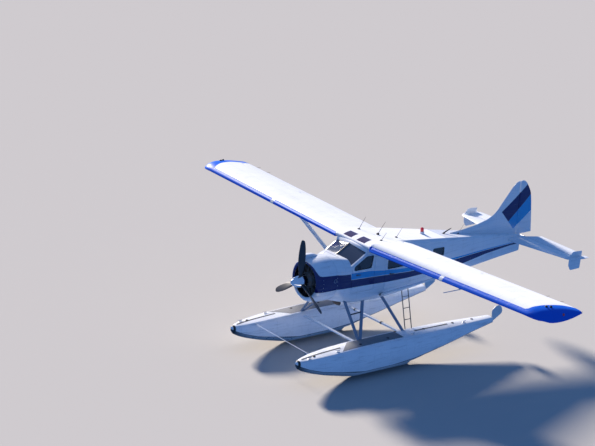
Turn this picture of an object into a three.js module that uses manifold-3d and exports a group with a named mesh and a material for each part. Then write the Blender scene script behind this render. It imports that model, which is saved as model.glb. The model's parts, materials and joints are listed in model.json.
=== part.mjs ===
// Single-engine high-wing floatplane, parked on its two floats.
// Units are millimetres. +X points to the aircraft's left side, +Y points aft and +Z points up.
// Every size below is measured from the tip of the propeller spinner, on the thrust line.
// The finished group is then moved so that the origin lies on the floor, under the middle.
import * as THREE from 'three';
import Module from 'manifold-3d';
import { mergeVertices } from 'three/addons/utils/BufferGeometryUtils.js';

const wasm = await Module();
wasm.setup();

// Place of the origin
const MIDDLE_Y = 4190;
const KEEL_DROP = 2430;

// Clearances
const SEAT_GAP = 0.4;
const DOOR_GAP = 8;
const SURFACE_GAP = 8;

// Wing
const WING_CHORD = 1587;
const WING_FRONT_Y = 2075;
const WING_FRONT_Z = 889;
const WING_ROOT_X = 665;
const WING_THICKNESS = 0.157;
const WING_CAMBER = 0.024;
const WING_INCIDENCE = 0.0524;
const WING_DIHEDRAL = THREE.MathUtils.degToRad(2.09);
const HINGE_CHORD = 0.775;
const FLAP_BAY = [770, 3888];
const AILERON_BAY = [3952, 6740];
const HINGE_PIN_RADIUS = 12;
const HINGE_PIN_GAP = 0.8;
const AIRFOIL_STATIONS = [1, 0.775, 0.55, 0.35, 0.2, 0.1, 0.04, 0.01, 0];
// The blue leading edge is fuller than the plain profile: its reach forward, its drop, its share of the chord
const CUFF = [28, 56, 0.2];
// Share of the tip's droop at the front edge, then how it changes with the chord and its square
const DROOP = [0.82, 0.9, -1.42];
// Columns: x, front edge behind the leading edge, rear edge behind it, scale above, scale below, droop, cuff
const WING_SECTIONS = [
  [WING_ROOT_X, 0, 1587, 1, 1, 0, 0],
  [735, 0, 1587, 1, 1, 0, 0],
  [765, 0, 1587, 1, 1, 0, 1],
  [6750, 0, 1587, 1, 1, 0, 1],
  [6900, 8, 1587, 1, 1, 10, 1],
  [7050, 45, 1586, 0.97, 0.98, 32, 1],
  [7160, 110, 1584, 0.88, 0.88, 58, 1],
  [7250, 205, 1580, 0.64, 0.68, 104, 0.6],
  [7315, 335, 1573, 0.2, 0.2, 205, 0],
];

// Fuselage sections. Columns: y, half width, top, bottom, top corner radius, bottom corner radius
const WALL = 40;
const FLOOR = 60;
const CEILING = 800;
const OPEN_TOP_Z = 1300;
const NOSE_FRONT_Y = 1160;
const CABIN_FRONT_Y = 1560;
const CABIN_REAR_Y = 5250;
const NOSE_SECTIONS = [
  [NOSE_FRONT_Y, 632, 628, -625, 600, 600],
  [1370, 648, 622, -640, 400, 330],
  [CABIN_FRONT_Y - SEAT_GAP, 655, 604, -655, 250, 180],
];
const CABIN_SECTIONS = [
  [CABIN_FRONT_Y, 655, 1050, -655, 60, 180],
  [1870, 660, 1050, -675, 60, 150],
  [2600, 660, 1042, -700, 80, 150],
  [3662, 655, 905, -620, 75, 150],
  [CABIN_REAR_Y, 478, 692, -512, 75, 140],
];
const TAIL_SECTIONS = [
  [CABIN_REAR_Y + SEAT_GAP, 478, 692, -512, 75, 140],
  [6290, 365, 552, -441, 70, 120],
  [7730, 202, 358, -344, 60, 90],
  [8600, 105, 240, -285, 40, 50],
];
// Room inside the tail cone, behind a bulkhead with a hatch
const TAIL_ROOM_END_Y = 7960;
const BULKHEAD = 25;
const HATCH = [-190, 190, -260, 340];
// Line where the side walls meet the roof. Columns: y, z
const SHOULDER = [
  [CABIN_FRONT_Y, 870],
  [2130, 870],
  [2300, 850],
  [2560, 800],
  [3661, 790],
  [CABIN_REAR_Y, 590],
];
// Line where the side walls meet the floor. Columns: y, z
const SILL = [
  [CABIN_FRONT_Y, -500],
  [1870, -525],
  [2600, -550],
  [3662, -470],
  [CABIN_REAR_Y, -368],
];

// Windshield: two flat panes that meet on the centre line
const PANE_Y = 1500;
const PANE_Z = 585;
const PANE_SWEEP = 0.4386;
const PANE_RAKE = 1.649;
const PANE_DEPTH = 16;

// Doors and windows. Columns of an outline: y, z
const COCKPIT_DOOR = [[1616, -350], [2424, -350], [2424, 716], [2050, 716], [1616, 432]];
const COCKPIT_WINDOW = [[1684, 300], [2290, 300], [2350, 662], [2100, 662], [1684, 404]];
const CABIN_DOOR = [[2816, -420], [3824, -390], [3824, 700], [2816, 716]];
const CABIN_WINDOW = [[2905, 170], [3740, 175], [3740, 640], [2905, 640]];
const REAR_WINDOW = [[4690, 195], [5160, 200], [5160, 445], [4690, 470]];
const HINGE_RADIUS = 10;
const HINGE_PROUD = 4;
const KNUCKLE_LENGTH = 40;
// Columns: x from, x to, y from, y to
const SKYLIGHT = [110, 460, 2125, 2390];
const SKYLIGHT_DEPTH = 12;

// Engine, cowling and propeller
const COWL_FRONT_Y = 476;
const ENGINE_Y = 740;
const CYLINDER_COUNT = 9;
const CYLINDER_RADIUS = 70;
const CYLINDER_REACH = 560;
const SPINNER_LENGTH = 455;
const SPINNER_RADIUS = 182;
const PROPELLER_Y = 320;
const PROPELLER_RADIUS = 1180;
const BLADE_COUNT = 3;
// Columns: radius, chord, thickness, pitch in degrees
const BLADE_SECTIONS = [
  [60, 96, 92, 50],
  [230, 104, 84, 46],
  [400, 176, 44, 38],
  [700, 214, 28, 27],
  [960, 190, 18, 20],
  [1120, 138, 12, 17],
  [PROPELLER_RADIUS, 60, 8, 16],
];

// Exhaust pipe under the nose. Columns: x, y, z of each bend
const EXHAUST_BENDS = [[300, 1280, -520], [300, 1400, -690], [300, 1545, -742]];
const EXHAUST_RADIUS = 62;
const EXHAUST_BORE = 52;

// Fin and rudder. Columns: z, front edge y, half thickness
const FIN_REAR_Y = 8445;
const FIN_SECTIONS = [
  [80, 5790, 46],
  [640, 5790, 46],
  [672, 6300, 45],
  [760, 6890, 44],
  [890, 7350, 42],
  [1060, 7610, 40],
  [1310, 7820, 36],
  [1560, 8030, 31],
  [1780, 8225, 26],
  [1850, 8320, 23],
  [1888, 8410, 16],
];
const RUDDER_HINGE_Y = 8500;
// Columns: z, rear edge y, half thickness
const RUDDER_SECTIONS = [
  [230, 9130, 38],
  [920, 9045, 36],
  [1450, 8950, 31],
  [1730, 8790, 26],
  [1840, 8690, 22],
  [1888, 8600, 15],
];
const RUDDER_PIN_RADIUS = 15;
const TAIL_STUB_Z = 214;

// Tailplane, elevator and finlets
const TAILPLANE_Z = 150;
const TAILPLANE_REAR_Y = 8715;
const ELEVATOR_HINGE_Y = 8762;
const ELEVATOR_NOSE = 28;
const ELEVATOR_RISE = 34;
const TORQUE_TUBE_RADIUS = 20;
const FINLET_X = 2240;
const FINLET_THICKNESS = 14;
// Columns: x, front edge y, rear edge y, half thickness
const TAILPLANE_SECTIONS = [
  [0, 8010, TAILPLANE_REAR_Y, 44],
  [450, 8055, TAILPLANE_REAR_Y, 42],
  [FINLET_X, 8405, TAILPLANE_REAR_Y, 27],
];
const TAILPLANE_TIP = [
  [FINLET_X - 4, 8404, 9150, 27],
  [2345, 8530, 9160, 22],
  [2420, 8830, 9160, 10],
];
// Columns: x, rear edge y
const ELEVATOR_HALF = [
  [208, ELEVATOR_HINGE_Y],
  [440, 9180],
  [2180, 9120],
  [2180, ELEVATOR_HINGE_Y],
];
const FINLET = [[8600, -215], [8985, -205], [9015, 330], [8650, 345], [8515, 210], [8505, -60]];

// Floats. Columns of the tables: y, half beam, keel, chine, deck
const FLOAT_X = 1458;
const KEEL_HALF_WIDTH = 24;
// Deck edge: most reach inwards, most fall, shares of half beam and side height, and of both half way round
const DECK_EDGE = [90, 95, 0.36, 0.5, 0.36, 0.4];
const FLOAT_FRONT = [
  [-800, 34, -1772, -1725, -1664],
  [-700, 110, -1880, -1775, -1634],
  [-470, 210, -1990, -1862, -1604],
  [-60, 290, -2130, -1972, -1566],
  [570, 335, -2290, -2082, -1530],
  [1400, 342, -2430, -2205, -1500],
  [2400, 342, -2430, -2195, -1490],
  [3250, 342, -2430, -2140, -1490],
];
const FLOAT_REAR = [
  [3150, 340, -2370, -2145, -1492],
  [3300, 340, -2364, -2130, -1492],
  [4300, 322, -2160, -1965, -1498],
  [5400, 252, -1930, -1772, -1508],
  [6310, 165, -1745, -1652, -1528],
];

// Struts. Columns: x, y, z of each end
const WING_STRUT = [[560, 2755, -640], [3370, 2550, 930]];
const WING_STRUT_SIZE = [140, 52];
const FRONT_STRUT = [[1300, 1520, -1560], [520, 1490, -500]];
const MIDDLE_STRUT = [[1300, 1560, -1560], [510, 2200, -590]];
const REAR_STRUT = [[1300, 3160, -1560], [500, 2850, -600]];
const FLOAT_STRUT_SIZE = [104, 46];
const STEP_Z = -905;
const STEP_RADIUS = 18;
const SPREADER_Z = -1600;
const SPREADER_SIZE = [96, 60];
const SPREADER_Y = [1540, 3200];
const LADDER_FOOT = [1260, 3360, -1540];
const LADDER_TOP = [515, 3735, -500];
const LADDER_HALF_WIDTH = 120;
const LADDER_TUBE = 14;
const LADDER_RUNG = 11;
const LADDER_RUNGS = [0.24, 0.5, 0.76];

// Water rudders, hung behind the floats
const STEER_Y = 6372;
const STEER_RADIUS = 20;
const STEER_Z = [-1690, -1580];
const LUG_THICKNESS = 14;
const LIFT_Y = 6458;
const LIFT_Z = -1635;
const LIFT_PIN = 7;
const BLADE_THICKNESS = 16;
const HEAD_HALF_WIDTH = 17;
const HEAD_HALF_HEIGHT = 24;
// Columns: y and z from the lift pin, with the blade raised
const WATER_BLADE = [
  [30, -48], [330, 130], [352, 205], [300, 330], [205, 392], [90, 385], [-40, 300], [-62, 215], [-44, 20],
];

// Paints and metals
const WHITE = [0xf1f3f5, 0.32, 0.1];
const BLUE_WHITE = [0xdfe7f0, 0.35, 0.1];
const NAVY = [0x14206b, 0.3, 0.1];
const FLOAT_WHITE = [0xd9e2ec, 0.4, 0.15];
const STRUT_WHITE = [0xe4eaf1, 0.38, 0.15];
const CHROME = [0xe8e8ea, 0.1, 1];
const ALUMINIUM = [0xb7babd, 0.3, 1];
const ENGINE_METAL = [0x4b3f36, 0.5, 0.7];
const GLASS = [0x2b3440, 0.08, 0];
const CABIN_GREY = [0x4a4d52, 0.7, 0];
const SEAT_GREY = [0x5b6068, 0.8, 0];

const aircraft = new THREE.Group();

// Turns a closed geometry into a solid that can be joined and cut, with its faces outwards.
function solid(geometry) {
  const bare = geometry.clone();
  bare.deleteAttribute('normal');
  bare.deleteAttribute('uv');
  const merged = mergeVertices(bare, 1e-3);
  const at = (index) => new THREE.Vector3().fromBufferAttribute(merged.attributes.position, index);
  const order = merged.index.array;
  const faces = [];
  let volume = 0;
  for (let i = 0; i < order.length; i += 3) {
    const [a, b, c] = [order[i], order[i + 1], order[i + 2]];
    if (a === b || b === c || c === a) continue;
    faces.push([a, b, c]);
    volume += at(a).dot(at(b).cross(at(c)));
  }
  if (volume < 0) faces.forEach((face) => face.reverse());
  return new wasm.Manifold(new wasm.Mesh({
    numProp: 3,
    vertProperties: new Float32Array(merged.attributes.position.array),
    triVerts: new Uint32Array(faces.flat()),
  }));
}

// Makes a copy of a solid with each corner put through a rule. A mirrored copy turns its faces back.
function remade(body, rule, mirroredCopy = false) {
  const mesh = body.getMesh();
  const corners = [];
  for (let i = 0; i < mesh.vertProperties.length; i += 3) {
    corners.push(...rule(mesh.vertProperties[i], mesh.vertProperties[i + 1], mesh.vertProperties[i + 2]));
  }
  const faces = Uint32Array.from(mesh.triVerts);
  if (mirroredCopy) {
    for (let i = 0; i < faces.length; i += 3) [faces[i], faces[i + 1]] = [faces[i + 1], faces[i]];
  }
  return new wasm.Manifold(new wasm.Mesh({
    numProp: 3,
    vertProperties: new Float32Array(corners),
    triVerts: faces,
  }));
}

const moved = (body, dx, dy, dz) => remade(body, (x, y, z) => [x + dx, y + dy, z + dz]);
const mirrored = (body) => remade(body, (x, y, z) => [-x, y, z], true);
const joined = (bodies) => bodies.reduce((whole, body) => whole.add(body));

// Cuts a neighbour out of a solid, and leaves the seat gap on each side that is listed.
function clearOf(body, neighbour, sides) {
  const cut = (rest, side) => rest.subtract(moved(neighbour, ...side.map((part) => part * SEAT_GAP)));
  return sides.reduce(cut, body.subtract(neighbour));
}

// Joins rings of points, all of one length, into a closed skin. Each end is closed by a fan.
function loft(rings) {
  const count = rings[0].length;
  const corners = rings.flat(2);
  const faces = [];
  for (let ring = 0; ring < rings.length - 1; ring += 1) {
    for (let i = 0; i < count; i += 1) {
      const a = ring * count + i;
      const b = ring * count + ((i + 1) % count);
      faces.push(a, b, b + count, a, b + count, a + count);
    }
  }
  [0, rings.length - 1].forEach((ring) => {
    const middle = corners.length / 3;
    for (let axis = 0; axis < 3; axis += 1) {
      corners.push(rings[ring].reduce((sum, point) => sum + point[axis], 0) / count);
    }
    for (let i = 0; i < count; i += 1) {
      const a = ring * count + i;
      const b = ring * count + ((i + 1) % count);
      if (ring === 0) faces.push(b, a, middle);
      else faces.push(a, b, middle);
    }
  });
  const geometry = new THREE.BufferGeometry();
  geometry.setAttribute('position', new THREE.Float32BufferAttribute(corners, 3));
  geometry.setIndex(faces);
  return solid(geometry);
}

// Outline of the y and z plane, with each corner rounded, extruded from one x to another.
function plate(points, fromX, toX, radius = 0) {
  const shape = new THREE.Shape();
  const corner = (i) => new THREE.Vector2(...points[(i + points.length) % points.length]);
  points.forEach((point, i) => {
    const here = corner(i);
    const enter = here.clone().add(corner(i - 1).sub(here).setLength(radius));
    const leave = here.clone().add(corner(i + 1).sub(here).setLength(radius));
    if (i === 0) shape.moveTo(enter.x, enter.y);
    else shape.lineTo(enter.x, enter.y);
    if (radius > 0) shape.quadraticCurveTo(here.x, here.y, leave.x, leave.y);
  });
  shape.closePath();
  const depth = toX - fromX;
  const geometry = new THREE.ExtrudeGeometry(shape, { depth, bevelEnabled: false, curveSegments: 3 });
  geometry.applyMatrix4(new THREE.Matrix4().set(0, 0, 1, fromX, 1, 0, 0, 0, 0, 1, 0, 0, 0, 0, 0, 1));
  return solid(geometry);
}

// Moves each edge of a convex outline inwards by one distance.
function inset(points, distance) {
  const count = points.length;
  const edges = points.map((point, i) => {
    const next = points[(i + 1) % count];
    const length = Math.hypot(next[0] - point[0], next[1] - point[1]);
    const along = [(next[0] - point[0]) / length, (next[1] - point[1]) / length];
    return { start: [point[0] - along[1] * distance, point[1] + along[0] * distance], along };
  });
  return edges.map((edge, i) => {
    const before = edges[(i + count - 1) % count];
    const gap = [edge.start[0] - before.start[0], edge.start[1] - before.start[1]];
    const cross = before.along[0] * edge.along[1] - before.along[1] * edge.along[0];
    const travel = (gap[0] * edge.along[1] - gap[1] * edge.along[0]) / cross;
    return [before.start[0] + before.along[0] * travel, before.start[1] + before.along[1] * travel];
  });
}

function block(fromX, toX, fromY, toY, fromZ, toZ) {
  const geometry = new THREE.BoxGeometry(toX - fromX, toY - fromY, toZ - fromZ);
  geometry.translate((fromX + toX) / 2, (fromY + toY) / 2, (fromZ + toZ) / 2);
  return solid(geometry);
}

function rod(from, to, radius, sides = 12) {
  const start = new THREE.Vector3(...from);
  const end = new THREE.Vector3(...to);
  const geometry = new THREE.CylinderGeometry(radius, radius, start.distanceTo(end), sides);
  const turn = new THREE.Quaternion();
  turn.setFromUnitVectors(new THREE.Vector3(0, 1, 0), end.clone().sub(start).normalize());
  geometry.applyQuaternion(turn);
  geometry.translate(...start.add(end).multiplyScalar(0.5).toArray());
  return solid(geometry);
}

// Bar with a streamlined section, its chord as near to the line of flight as the bar allows.
function bar([from, to], [chord, thickness], sides = 12) {
  const start = new THREE.Vector3(...from);
  const end = new THREE.Vector3(...to);
  const along = end.clone().sub(start).normalize();
  const aft = new THREE.Vector3(0, 1, 0);
  aft.addScaledVector(along, -aft.dot(along)).normalize();
  const across = along.clone().cross(aft);
  const ring = (centre) => Array.from({ length: sides }, (unused, i) => {
    const angle = (2 * Math.PI * i) / sides;
    const taper = 1 - 0.25 * Math.cos(angle);
    return centre.clone()
      .addScaledVector(aft, (Math.cos(angle) * chord) / 2)
      .addScaledVector(across, (Math.sin(angle) * taper * thickness) / 2)
      .toArray();
  });
  return loft([ring(start), ring(end)]);
}

// Solid of revolution about the thrust line. Columns of the profile: radius, y
function turned(profile, sides) {
  return solid(new THREE.LatheGeometry(profile.map((point) => new THREE.Vector2(...point)), sides));
}

function piece(name, body, [color, roughness, metalness]) {
  const mesh = body.getMesh();
  const geometry = new THREE.BufferGeometry();
  geometry.setAttribute('position', new THREE.BufferAttribute(Float32Array.from(mesh.vertProperties), 3));
  geometry.setIndex(new THREE.BufferAttribute(Uint32Array.from(mesh.triVerts), 1));
  geometry.computeVertexNormals();
  const result = new THREE.Mesh(geometry, new THREE.MeshStandardMaterial({ color, roughness, metalness }));
  result.name = name;
  aircraft.add(result);
}

// Adds a left piece and its mirror image on the right.
function pair(name, body, paint) {
  piece(`${name}_left`, body, paint);
  piece(`${name}_right`, mirrored(body), paint);
}

// Wing profile at one point of the chord: height of the upper or lower skin over the chord line.
function skin(part, upper, thickness = WING_THICKNESS) {
  const root = 0.2969 * Math.sqrt(part) - 0.126 * part;
  const half = 5 * thickness * (root - 0.3516 * part ** 2 + 0.2843 * part ** 3 - 0.1015 * part ** 4);
  const camber = 4 * WING_CAMBER * part * (1 - part);
  return camber + (upper ? half : -half);
}

const chordZ = (x, y) => WING_FRONT_Z + Math.abs(x) * Math.tan(WING_DIHEDRAL)
  - (y - WING_FRONT_Y) * WING_INCIDENCE;

// Ring of points around the wing at one x. The scales thin the tip, which droops towards its outer edge.
function wingRing(x, front, rear, above, below, droop, cuff, spreadX = x) {
  const [cuffReach, cuffDrop, cuffShare] = CUFF;
  const point = (part, upper) => {
    const nose = cuff * Math.max(0, 1 - part / cuffShare) ** 2;
    const y = WING_FRONT_Y + front + part * (rear - front);
    const sag = droop * (DROOP[0] + DROOP[1] * part + DROOP[2] * part ** 2) + cuffDrop * nose;
    const height = skin(part, upper) * WING_CHORD * (upper ? above : below);
    return [spreadX, y - cuffReach * nose, chordZ(x, y) + height - sag];
  };
  const upper = AIRFOIL_STATIONS.map((part) => point(part, true));
  const lower = AIRFOIL_STATIONS.slice(0, -1).reverse().map((part) => point(part, false));
  return [...upper, ...lower];
}

const hingeY = WING_FRONT_Y + HINGE_CHORD * WING_CHORD;
const hingeRise = ((skin(HINGE_CHORD, true) + skin(HINGE_CHORD, false)) / 2) * WING_CHORD;
const hingeNose = ((skin(HINGE_CHORD, true) - skin(HINGE_CHORD, false)) / 2) * WING_CHORD;
const hingeAt = (x) => [x, hingeY, chordZ(x, hingeY) + hingeRise];

// Flap or aileron: a round nose about its hinge line, then the wing's own profile to the rear edge.
function controlSurface([bayStart, bayEnd]) {
  const ring = (x) => {
    const [, y, z] = hingeAt(x);
    const nose = [100, 130, 160, 180, 200, 230, 260].map((degrees) => {
      const angle = THREE.MathUtils.degToRad(degrees);
      return [x, y + hingeNose * Math.cos(angle), z + hingeNose * Math.sin(angle)];
    });
    const tail = (part, upper) => {
      const tailY = WING_FRONT_Y + part * WING_CHORD;
      return [x, tailY, chordZ(x, tailY) + skin(part, upper) * WING_CHORD];
    };
    return [tail(1, true), tail(0.87, true), tail(HINGE_CHORD, true), ...nose,
      tail(HINGE_CHORD, false), tail(0.87, false), tail(1, false)];
  };
  const start = bayStart + SURFACE_GAP;
  const end = bayEnd - SURFACE_GAP;
  const pin = rod(hingeAt(bayStart + HINGE_PIN_GAP), hingeAt(bayEnd - HINGE_PIN_GAP), HINGE_PIN_RADIUS);
  return loft([ring(start), ring(end)]).add(pin);
}

function makeWing() {
  const bay = ([fromX, toX]) => {
    const front = hingeY - hingeNose - SURFACE_GAP;
    return block(fromX, toX, front, WING_FRONT_Y + WING_CHORD + 50, 500, 1500);
  };
  const whole = loft(WING_SECTIONS.map((section) => wingRing(...section)));
  return whole.subtract(bay(FLAP_BAY)).subtract(bay(AILERON_BAY));
}

// Ring around the fuselage: a rectangle with round corners. A negative growth gives an inner skin.
function hullRing([y, halfWidth, top, bottom, topRadius, bottomRadius], growth = 0) {
  const steps = 4;
  const corners = [
    [1, 1, 0, topRadius, top],
    [-1, 1, 90, topRadius, top],
    [-1, -1, 180, bottomRadius, bottom],
    [1, -1, 270, bottomRadius, bottom],
  ];
  return corners.flatMap(([signX, signZ, startAngle, radius, edge]) => {
    const round = Math.max(radius + growth, 5);
    const centreX = signX * (halfWidth + growth - round);
    const centreZ = edge + signZ * (growth - round);
    return Array.from({ length: steps + 1 }, (unused, i) => {
      const angle = THREE.MathUtils.degToRad(startAngle + (90 * i) / steps);
      return [centreX + round * Math.cos(angle), y, centreZ + round * Math.sin(angle)];
    });
  });
}

const hull = (sections, growth) => loft(sections.map((section) => hullRing(section, growth)));

// Half width of the cabin at one y.
function cabinHalfWidth(y) {
  const after = CABIN_SECTIONS.findIndex((section) => section[0] >= y);
  const [from, to] = [CABIN_SECTIONS[after - 1], CABIN_SECTIONS[after]];
  return from[1] + ((to[1] - from[1]) * (y - from[0])) / (to[0] - from[0]);
}

const paneY = (x, z) => PANE_Y + PANE_SWEEP * x + PANE_RAKE * (z - PANE_Z);

// Wedge behind or before one windshield pane, from the centre line out to one x.
function paneWedge(toX, lowZ, highZ, depth) {
  const ring = (x, low, high) => [
    [x, paneY(x, low), low],
    [x, paneY(x, high), high],
    [x, paneY(x, high) + depth, high],
    [x, paneY(x, low) + depth, low],
  ];
  const wedge = loft([ring(0, lowZ[0], highZ[0]), ring(toX, lowZ[1], highZ[1])]);
  return wedge.add(mirrored(wedge));
}

// Region of the side view between a line and a level, across the whole width.
const below = (line, level) => plate([...line, [line.at(-1)[0], level], [line[0][0], level]], -1000, 1000);

function makeCabin() {
  const frontX = cabinHalfWidth(WING_FRONT_Y);
  const outer = hull(CABIN_SECTIONS, 0);
  const cavity = (ceiling) => loft(CABIN_SECTIONS.map(([y, , top, bottom], i) => {
    const halfWidth = cabinHalfWidth(Math.max(y, CABIN_FRONT_Y + 0.01)) - WALL;
    const stretch = { 0: -20, [CABIN_SECTIONS.length - 1]: 20 }[i] ?? 0;
    const [high, low] = [ceiling ?? Math.min(CEILING, top - WALL), bottom + FLOOR];
    return [[halfWidth, high], [-halfWidth, high], [-halfWidth, low], [halfWidth, low]]
      .map(([x, z]) => [x, y + stretch, z]);
  }));
  const shell = outer.subtract(cavity());
  const underSill = below(SILL, -2000);
  const underShoulder = below(SHOULDER, -2000);
  const beforePane = paneWedge(900, [300, 300], [1100, 1100], -1500);

  const centreX = WING_ROOT_X - SEAT_GAP;
  const centreRing = (x) => wingRing(...WING_SECTIONS[0], x);
  const centreWing = loft([centreRing(-centreX), centreRing(centreX)]);

  const floor = shell.intersect(underSill);
  const sides = outer.subtract(cavity(OPEN_TOP_Z)).intersect(underShoulder);
  let walls = sides.subtract(moved(underSill, 0, 0, SEAT_GAP));
  walls = clearOf(walls, centreWing, [[0, 0, -1]]).subtract(beforePane);

  const aboveShoulder = block(-1000, 1000, 2560, CABIN_REAR_Y, 0, 1200)
    .subtract(moved(underShoulder, 0, 0, SEAT_GAP));
  const headerRing = (x, points) => points.map(([y, z]) => [x, y, z]);
  const header = loft([
    headerRing(0, [[1974, 872], [2022, 918], [2200, 930], [2200, 872]]),
    headerRing(frontX - 0.5, [[2068, 765], [2090, 870], [2200, 880], [2200, 765]]),
  ]);
  let roof = shell.intersect(aboveShoulder).add(centreWing).add(header).add(mirrored(header));
  roof = clearOf(roof, walls, [[0, 0, 1], [0, -1, 0]]);

  const [skyFromX, skyToX, skyFromY, skyToY] = SKYLIGHT;
  const skyHole = block(skyFromX, skyToX, skyFromY, skyToY, 600, 1200);
  const [plugX, plugY] = [[skyFromX, skyToX], [skyFromY, skyToY]]
    .map(([from, to]) => [from + SEAT_GAP, to - SEAT_GAP]);
  const skyPlug = block(...plugX, ...plugY, 900, 1200);
  const skyGlass = centreWing.intersect(skyPlug).subtract(moved(centreWing, 0, 0, -SKYLIGHT_DEPTH));
  roof = roof.subtract(skyHole).subtract(mirrored(skyHole));

  const pane = paneWedge(cabinHalfWidth(1870) - WALL - 6, [570, 464], [878, 772], PANE_DEPTH);
  return { outer, floor, walls, roof, skyGlass, pane };
}

// Two knuckles on each hinge stand on one vertical line, the lower one fixed to the wall.
function doorHinge(y, heights) {
  const x = cabinHalfWidth(y) + HINGE_PROUD;
  const stack = (radius, low, high) => joined(heights.map(
    (height) => rod([x, y, height + low], [x, y, height + high], radius, 16),
  ));
  const relief = HINGE_RADIUS + 1.5;
  return {
    fixed: stack(HINGE_RADIUS, 0, KNUCKLE_LENGTH),
    moving: stack(HINGE_RADIUS, KNUCKLE_LENGTH + SEAT_GAP, 2 * KNUCKLE_LENGTH),
    wallRelief: stack(relief, KNUCKLE_LENGTH, 2 * KNUCKLE_LENGTH + 5),
    doorRelief: stack(relief, -5, KNUCKLE_LENGTH + SEAT_GAP),
  };
}

// Glass between two inner skins of the cabin, cut to a window outline.
function windowGlass(outline, radius) {
  const layer = hull(CABIN_SECTIONS, -14).subtract(hull(CABIN_SECTIONS, -24));
  return layer.intersect(plate(inset(outline, SEAT_GAP), 300, 900, radius));
}

function makeWallsAndDoors(walls) {
  const half = block(300, 900, 1000, 6000, -1000, 1200);
  let wall = walls.intersect(half);
  const doors = [
    ['cockpit_door', COCKPIT_DOOR, COCKPIT_WINDOW, [-250, 180]],
    ['cabin_door', CABIN_DOOR, CABIN_WINDOW, [-320, 480]],
  ];
  doors.forEach(([name, outline, window, heights]) => {
    const hinge = doorHinge(outline[0][0] + DOOR_GAP / 2, heights);
    const door = wall.intersect(plate(inset(outline, DOOR_GAP), 300, 900, 20))
      .subtract(plate(window, 300, 900, 50))
      .subtract(hinge.doorRelief)
      .add(hinge.moving);
    wall = wall.subtract(plate(outline, 300, 900, 24)).subtract(hinge.wallRelief).add(hinge.fixed);
    pair(name, door, WHITE);
    pair(`${name}_glass`, windowGlass(window, 50), GLASS);
  });
  wall = wall.subtract(plate(REAR_WINDOW, 300, 900, 40));
  pair('cabin_wall', wall, WHITE);
  pair('rear_window', windowGlass(REAR_WINDOW, 40), GLASS);
}

function makeEngineAndPropeller() {
  const cowl = [
    [470, 506], [478, 486], [498, COWL_FRONT_Y], [540, 482], [580, 512], [606, 580], [624, 700],
    [634, 860], [637, 1020], [634, NOSE_FRONT_Y - SEAT_GAP], [612, NOSE_FRONT_Y - SEAT_GAP],
    [614, 1000], [604, 720], [572, 580], [520, 530], [470, 506],
  ];
  const cowlBody = turned(cowl, 30);
  piece('engine_cowl', cowlBody, NAVY);

  const cowlFilled = turned([[0, 477], ...cowl.slice(2, 10), [0, NOSE_FRONT_Y - SEAT_GAP]], 30);
  const scoopRing = (y, low, high, half) => [
    [-150 - half, y, low], [-150 - half, y, high - 40], [-150 - half + 30, y, high - 8], [-150, y, high],
    [-150 + half - 30, y, high - 8], [-150 + half, y, high - 40], [-150 + half, y, low],
  ];
  const scoopOuter = loft([scoopRing(492, 540, 700, 92), scoopRing(560, 540, 712, 96),
    scoopRing(760, 540, 702, 90), scoopRing(980, 540, 628, 60)]);
  const scoopInner = loft([scoopRing(400, 596, 684, 76), scoopRing(660, 610, 690, 70)]);
  const scoop = clearOf(scoopOuter.subtract(scoopInner), cowlFilled, [[0, 0, 1]]);
  piece('air_scoop', scoop, WHITE);

  const cylinders = Array.from({ length: CYLINDER_COUNT }, (unused, i) => {
    const angle = Math.PI / 2 + (2 * Math.PI * i) / CYLINDER_COUNT;
    const at = (radius) => [radius * Math.cos(angle), ENGINE_Y, radius * Math.sin(angle)];
    return rod(at(150), at(CYLINDER_REACH), CYLINDER_RADIUS, 10);
  });
  const crankcase = turned([[0, 470], [70, 470], [110, 500], [160, 590], [232, 640], [240, 900],
    [170, 960], [170, NOSE_FRONT_Y - SEAT_GAP], [0, NOSE_FRONT_Y - SEAT_GAP]], 18);
  piece('engine', joined([crankcase, ...cylinders]), ENGINE_METAL);

  const bladeRing = ([radius, chord, thickness, pitch]) => Array.from({ length: 10 }, (unused, i) => {
    const angle = (2 * Math.PI * i) / 10;
    const turn = THREE.MathUtils.degToRad(pitch);
    const along = (Math.cos(angle) * chord) / 2;
    const across = (Math.sin(angle) * thickness) / 2;
    return [
      along * Math.cos(turn) - across * Math.sin(turn),
      PROPELLER_Y + along * Math.sin(turn) + across * Math.cos(turn),
      radius,
    ];
  });
  const turnedAbout = (body, angle) => remade(body, (x, y, z) => [
    x * Math.cos(angle) + z * Math.sin(angle), y, z * Math.cos(angle) - x * Math.sin(angle),
  ]);
  const perBlade = (body) => Array.from(
    { length: BLADE_COUNT },
    (unused, i) => turnedAbout(body, (2 * Math.PI * i) / BLADE_COUNT),
  );
  const blades = perBlade(loft(BLADE_SECTIONS.map(bladeRing)));
  const hub = turned([[0, 250], [105, 250], [105, 400], [SPINNER_RADIUS - 8, 444], [SPINNER_RADIUS - 8, 458],
    [64, 460], [64, 470 - SEAT_GAP], [0, 470 - SEAT_GAP]], 24);
  piece('propeller', joined([hub, ...blades]), ALUMINIUM);

  const spinnerCurve = [0, 0.03, 0.1, 0.22, 0.38, 0.58, 0.8, 1];
  const radiusAt = (part) => SPINNER_RADIUS * Math.sqrt(Math.sin((Math.min(part * 1.06, 1) * Math.PI) / 2));
  const spinnerOuter = spinnerCurve.map((part) => [radiusAt(part), part * SPINNER_LENGTH]);
  const spinnerInner = [[SPINNER_RADIUS - 7.4, SPINNER_LENGTH], [SPINNER_RADIUS - 7.4, 300],
    [128, 200], [128, 150], [0, 150]];
  const sockets = perBlade(rod([0, PROPELLER_Y, 60], [0, PROPELLER_Y, 300], 66, 16));
  const spinner = turned([...spinnerOuter, ...spinnerInner], 24);
  piece('spinner', sockets.reduce((rest, cut) => rest.subtract(cut), spinner), CHROME);
}

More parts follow.
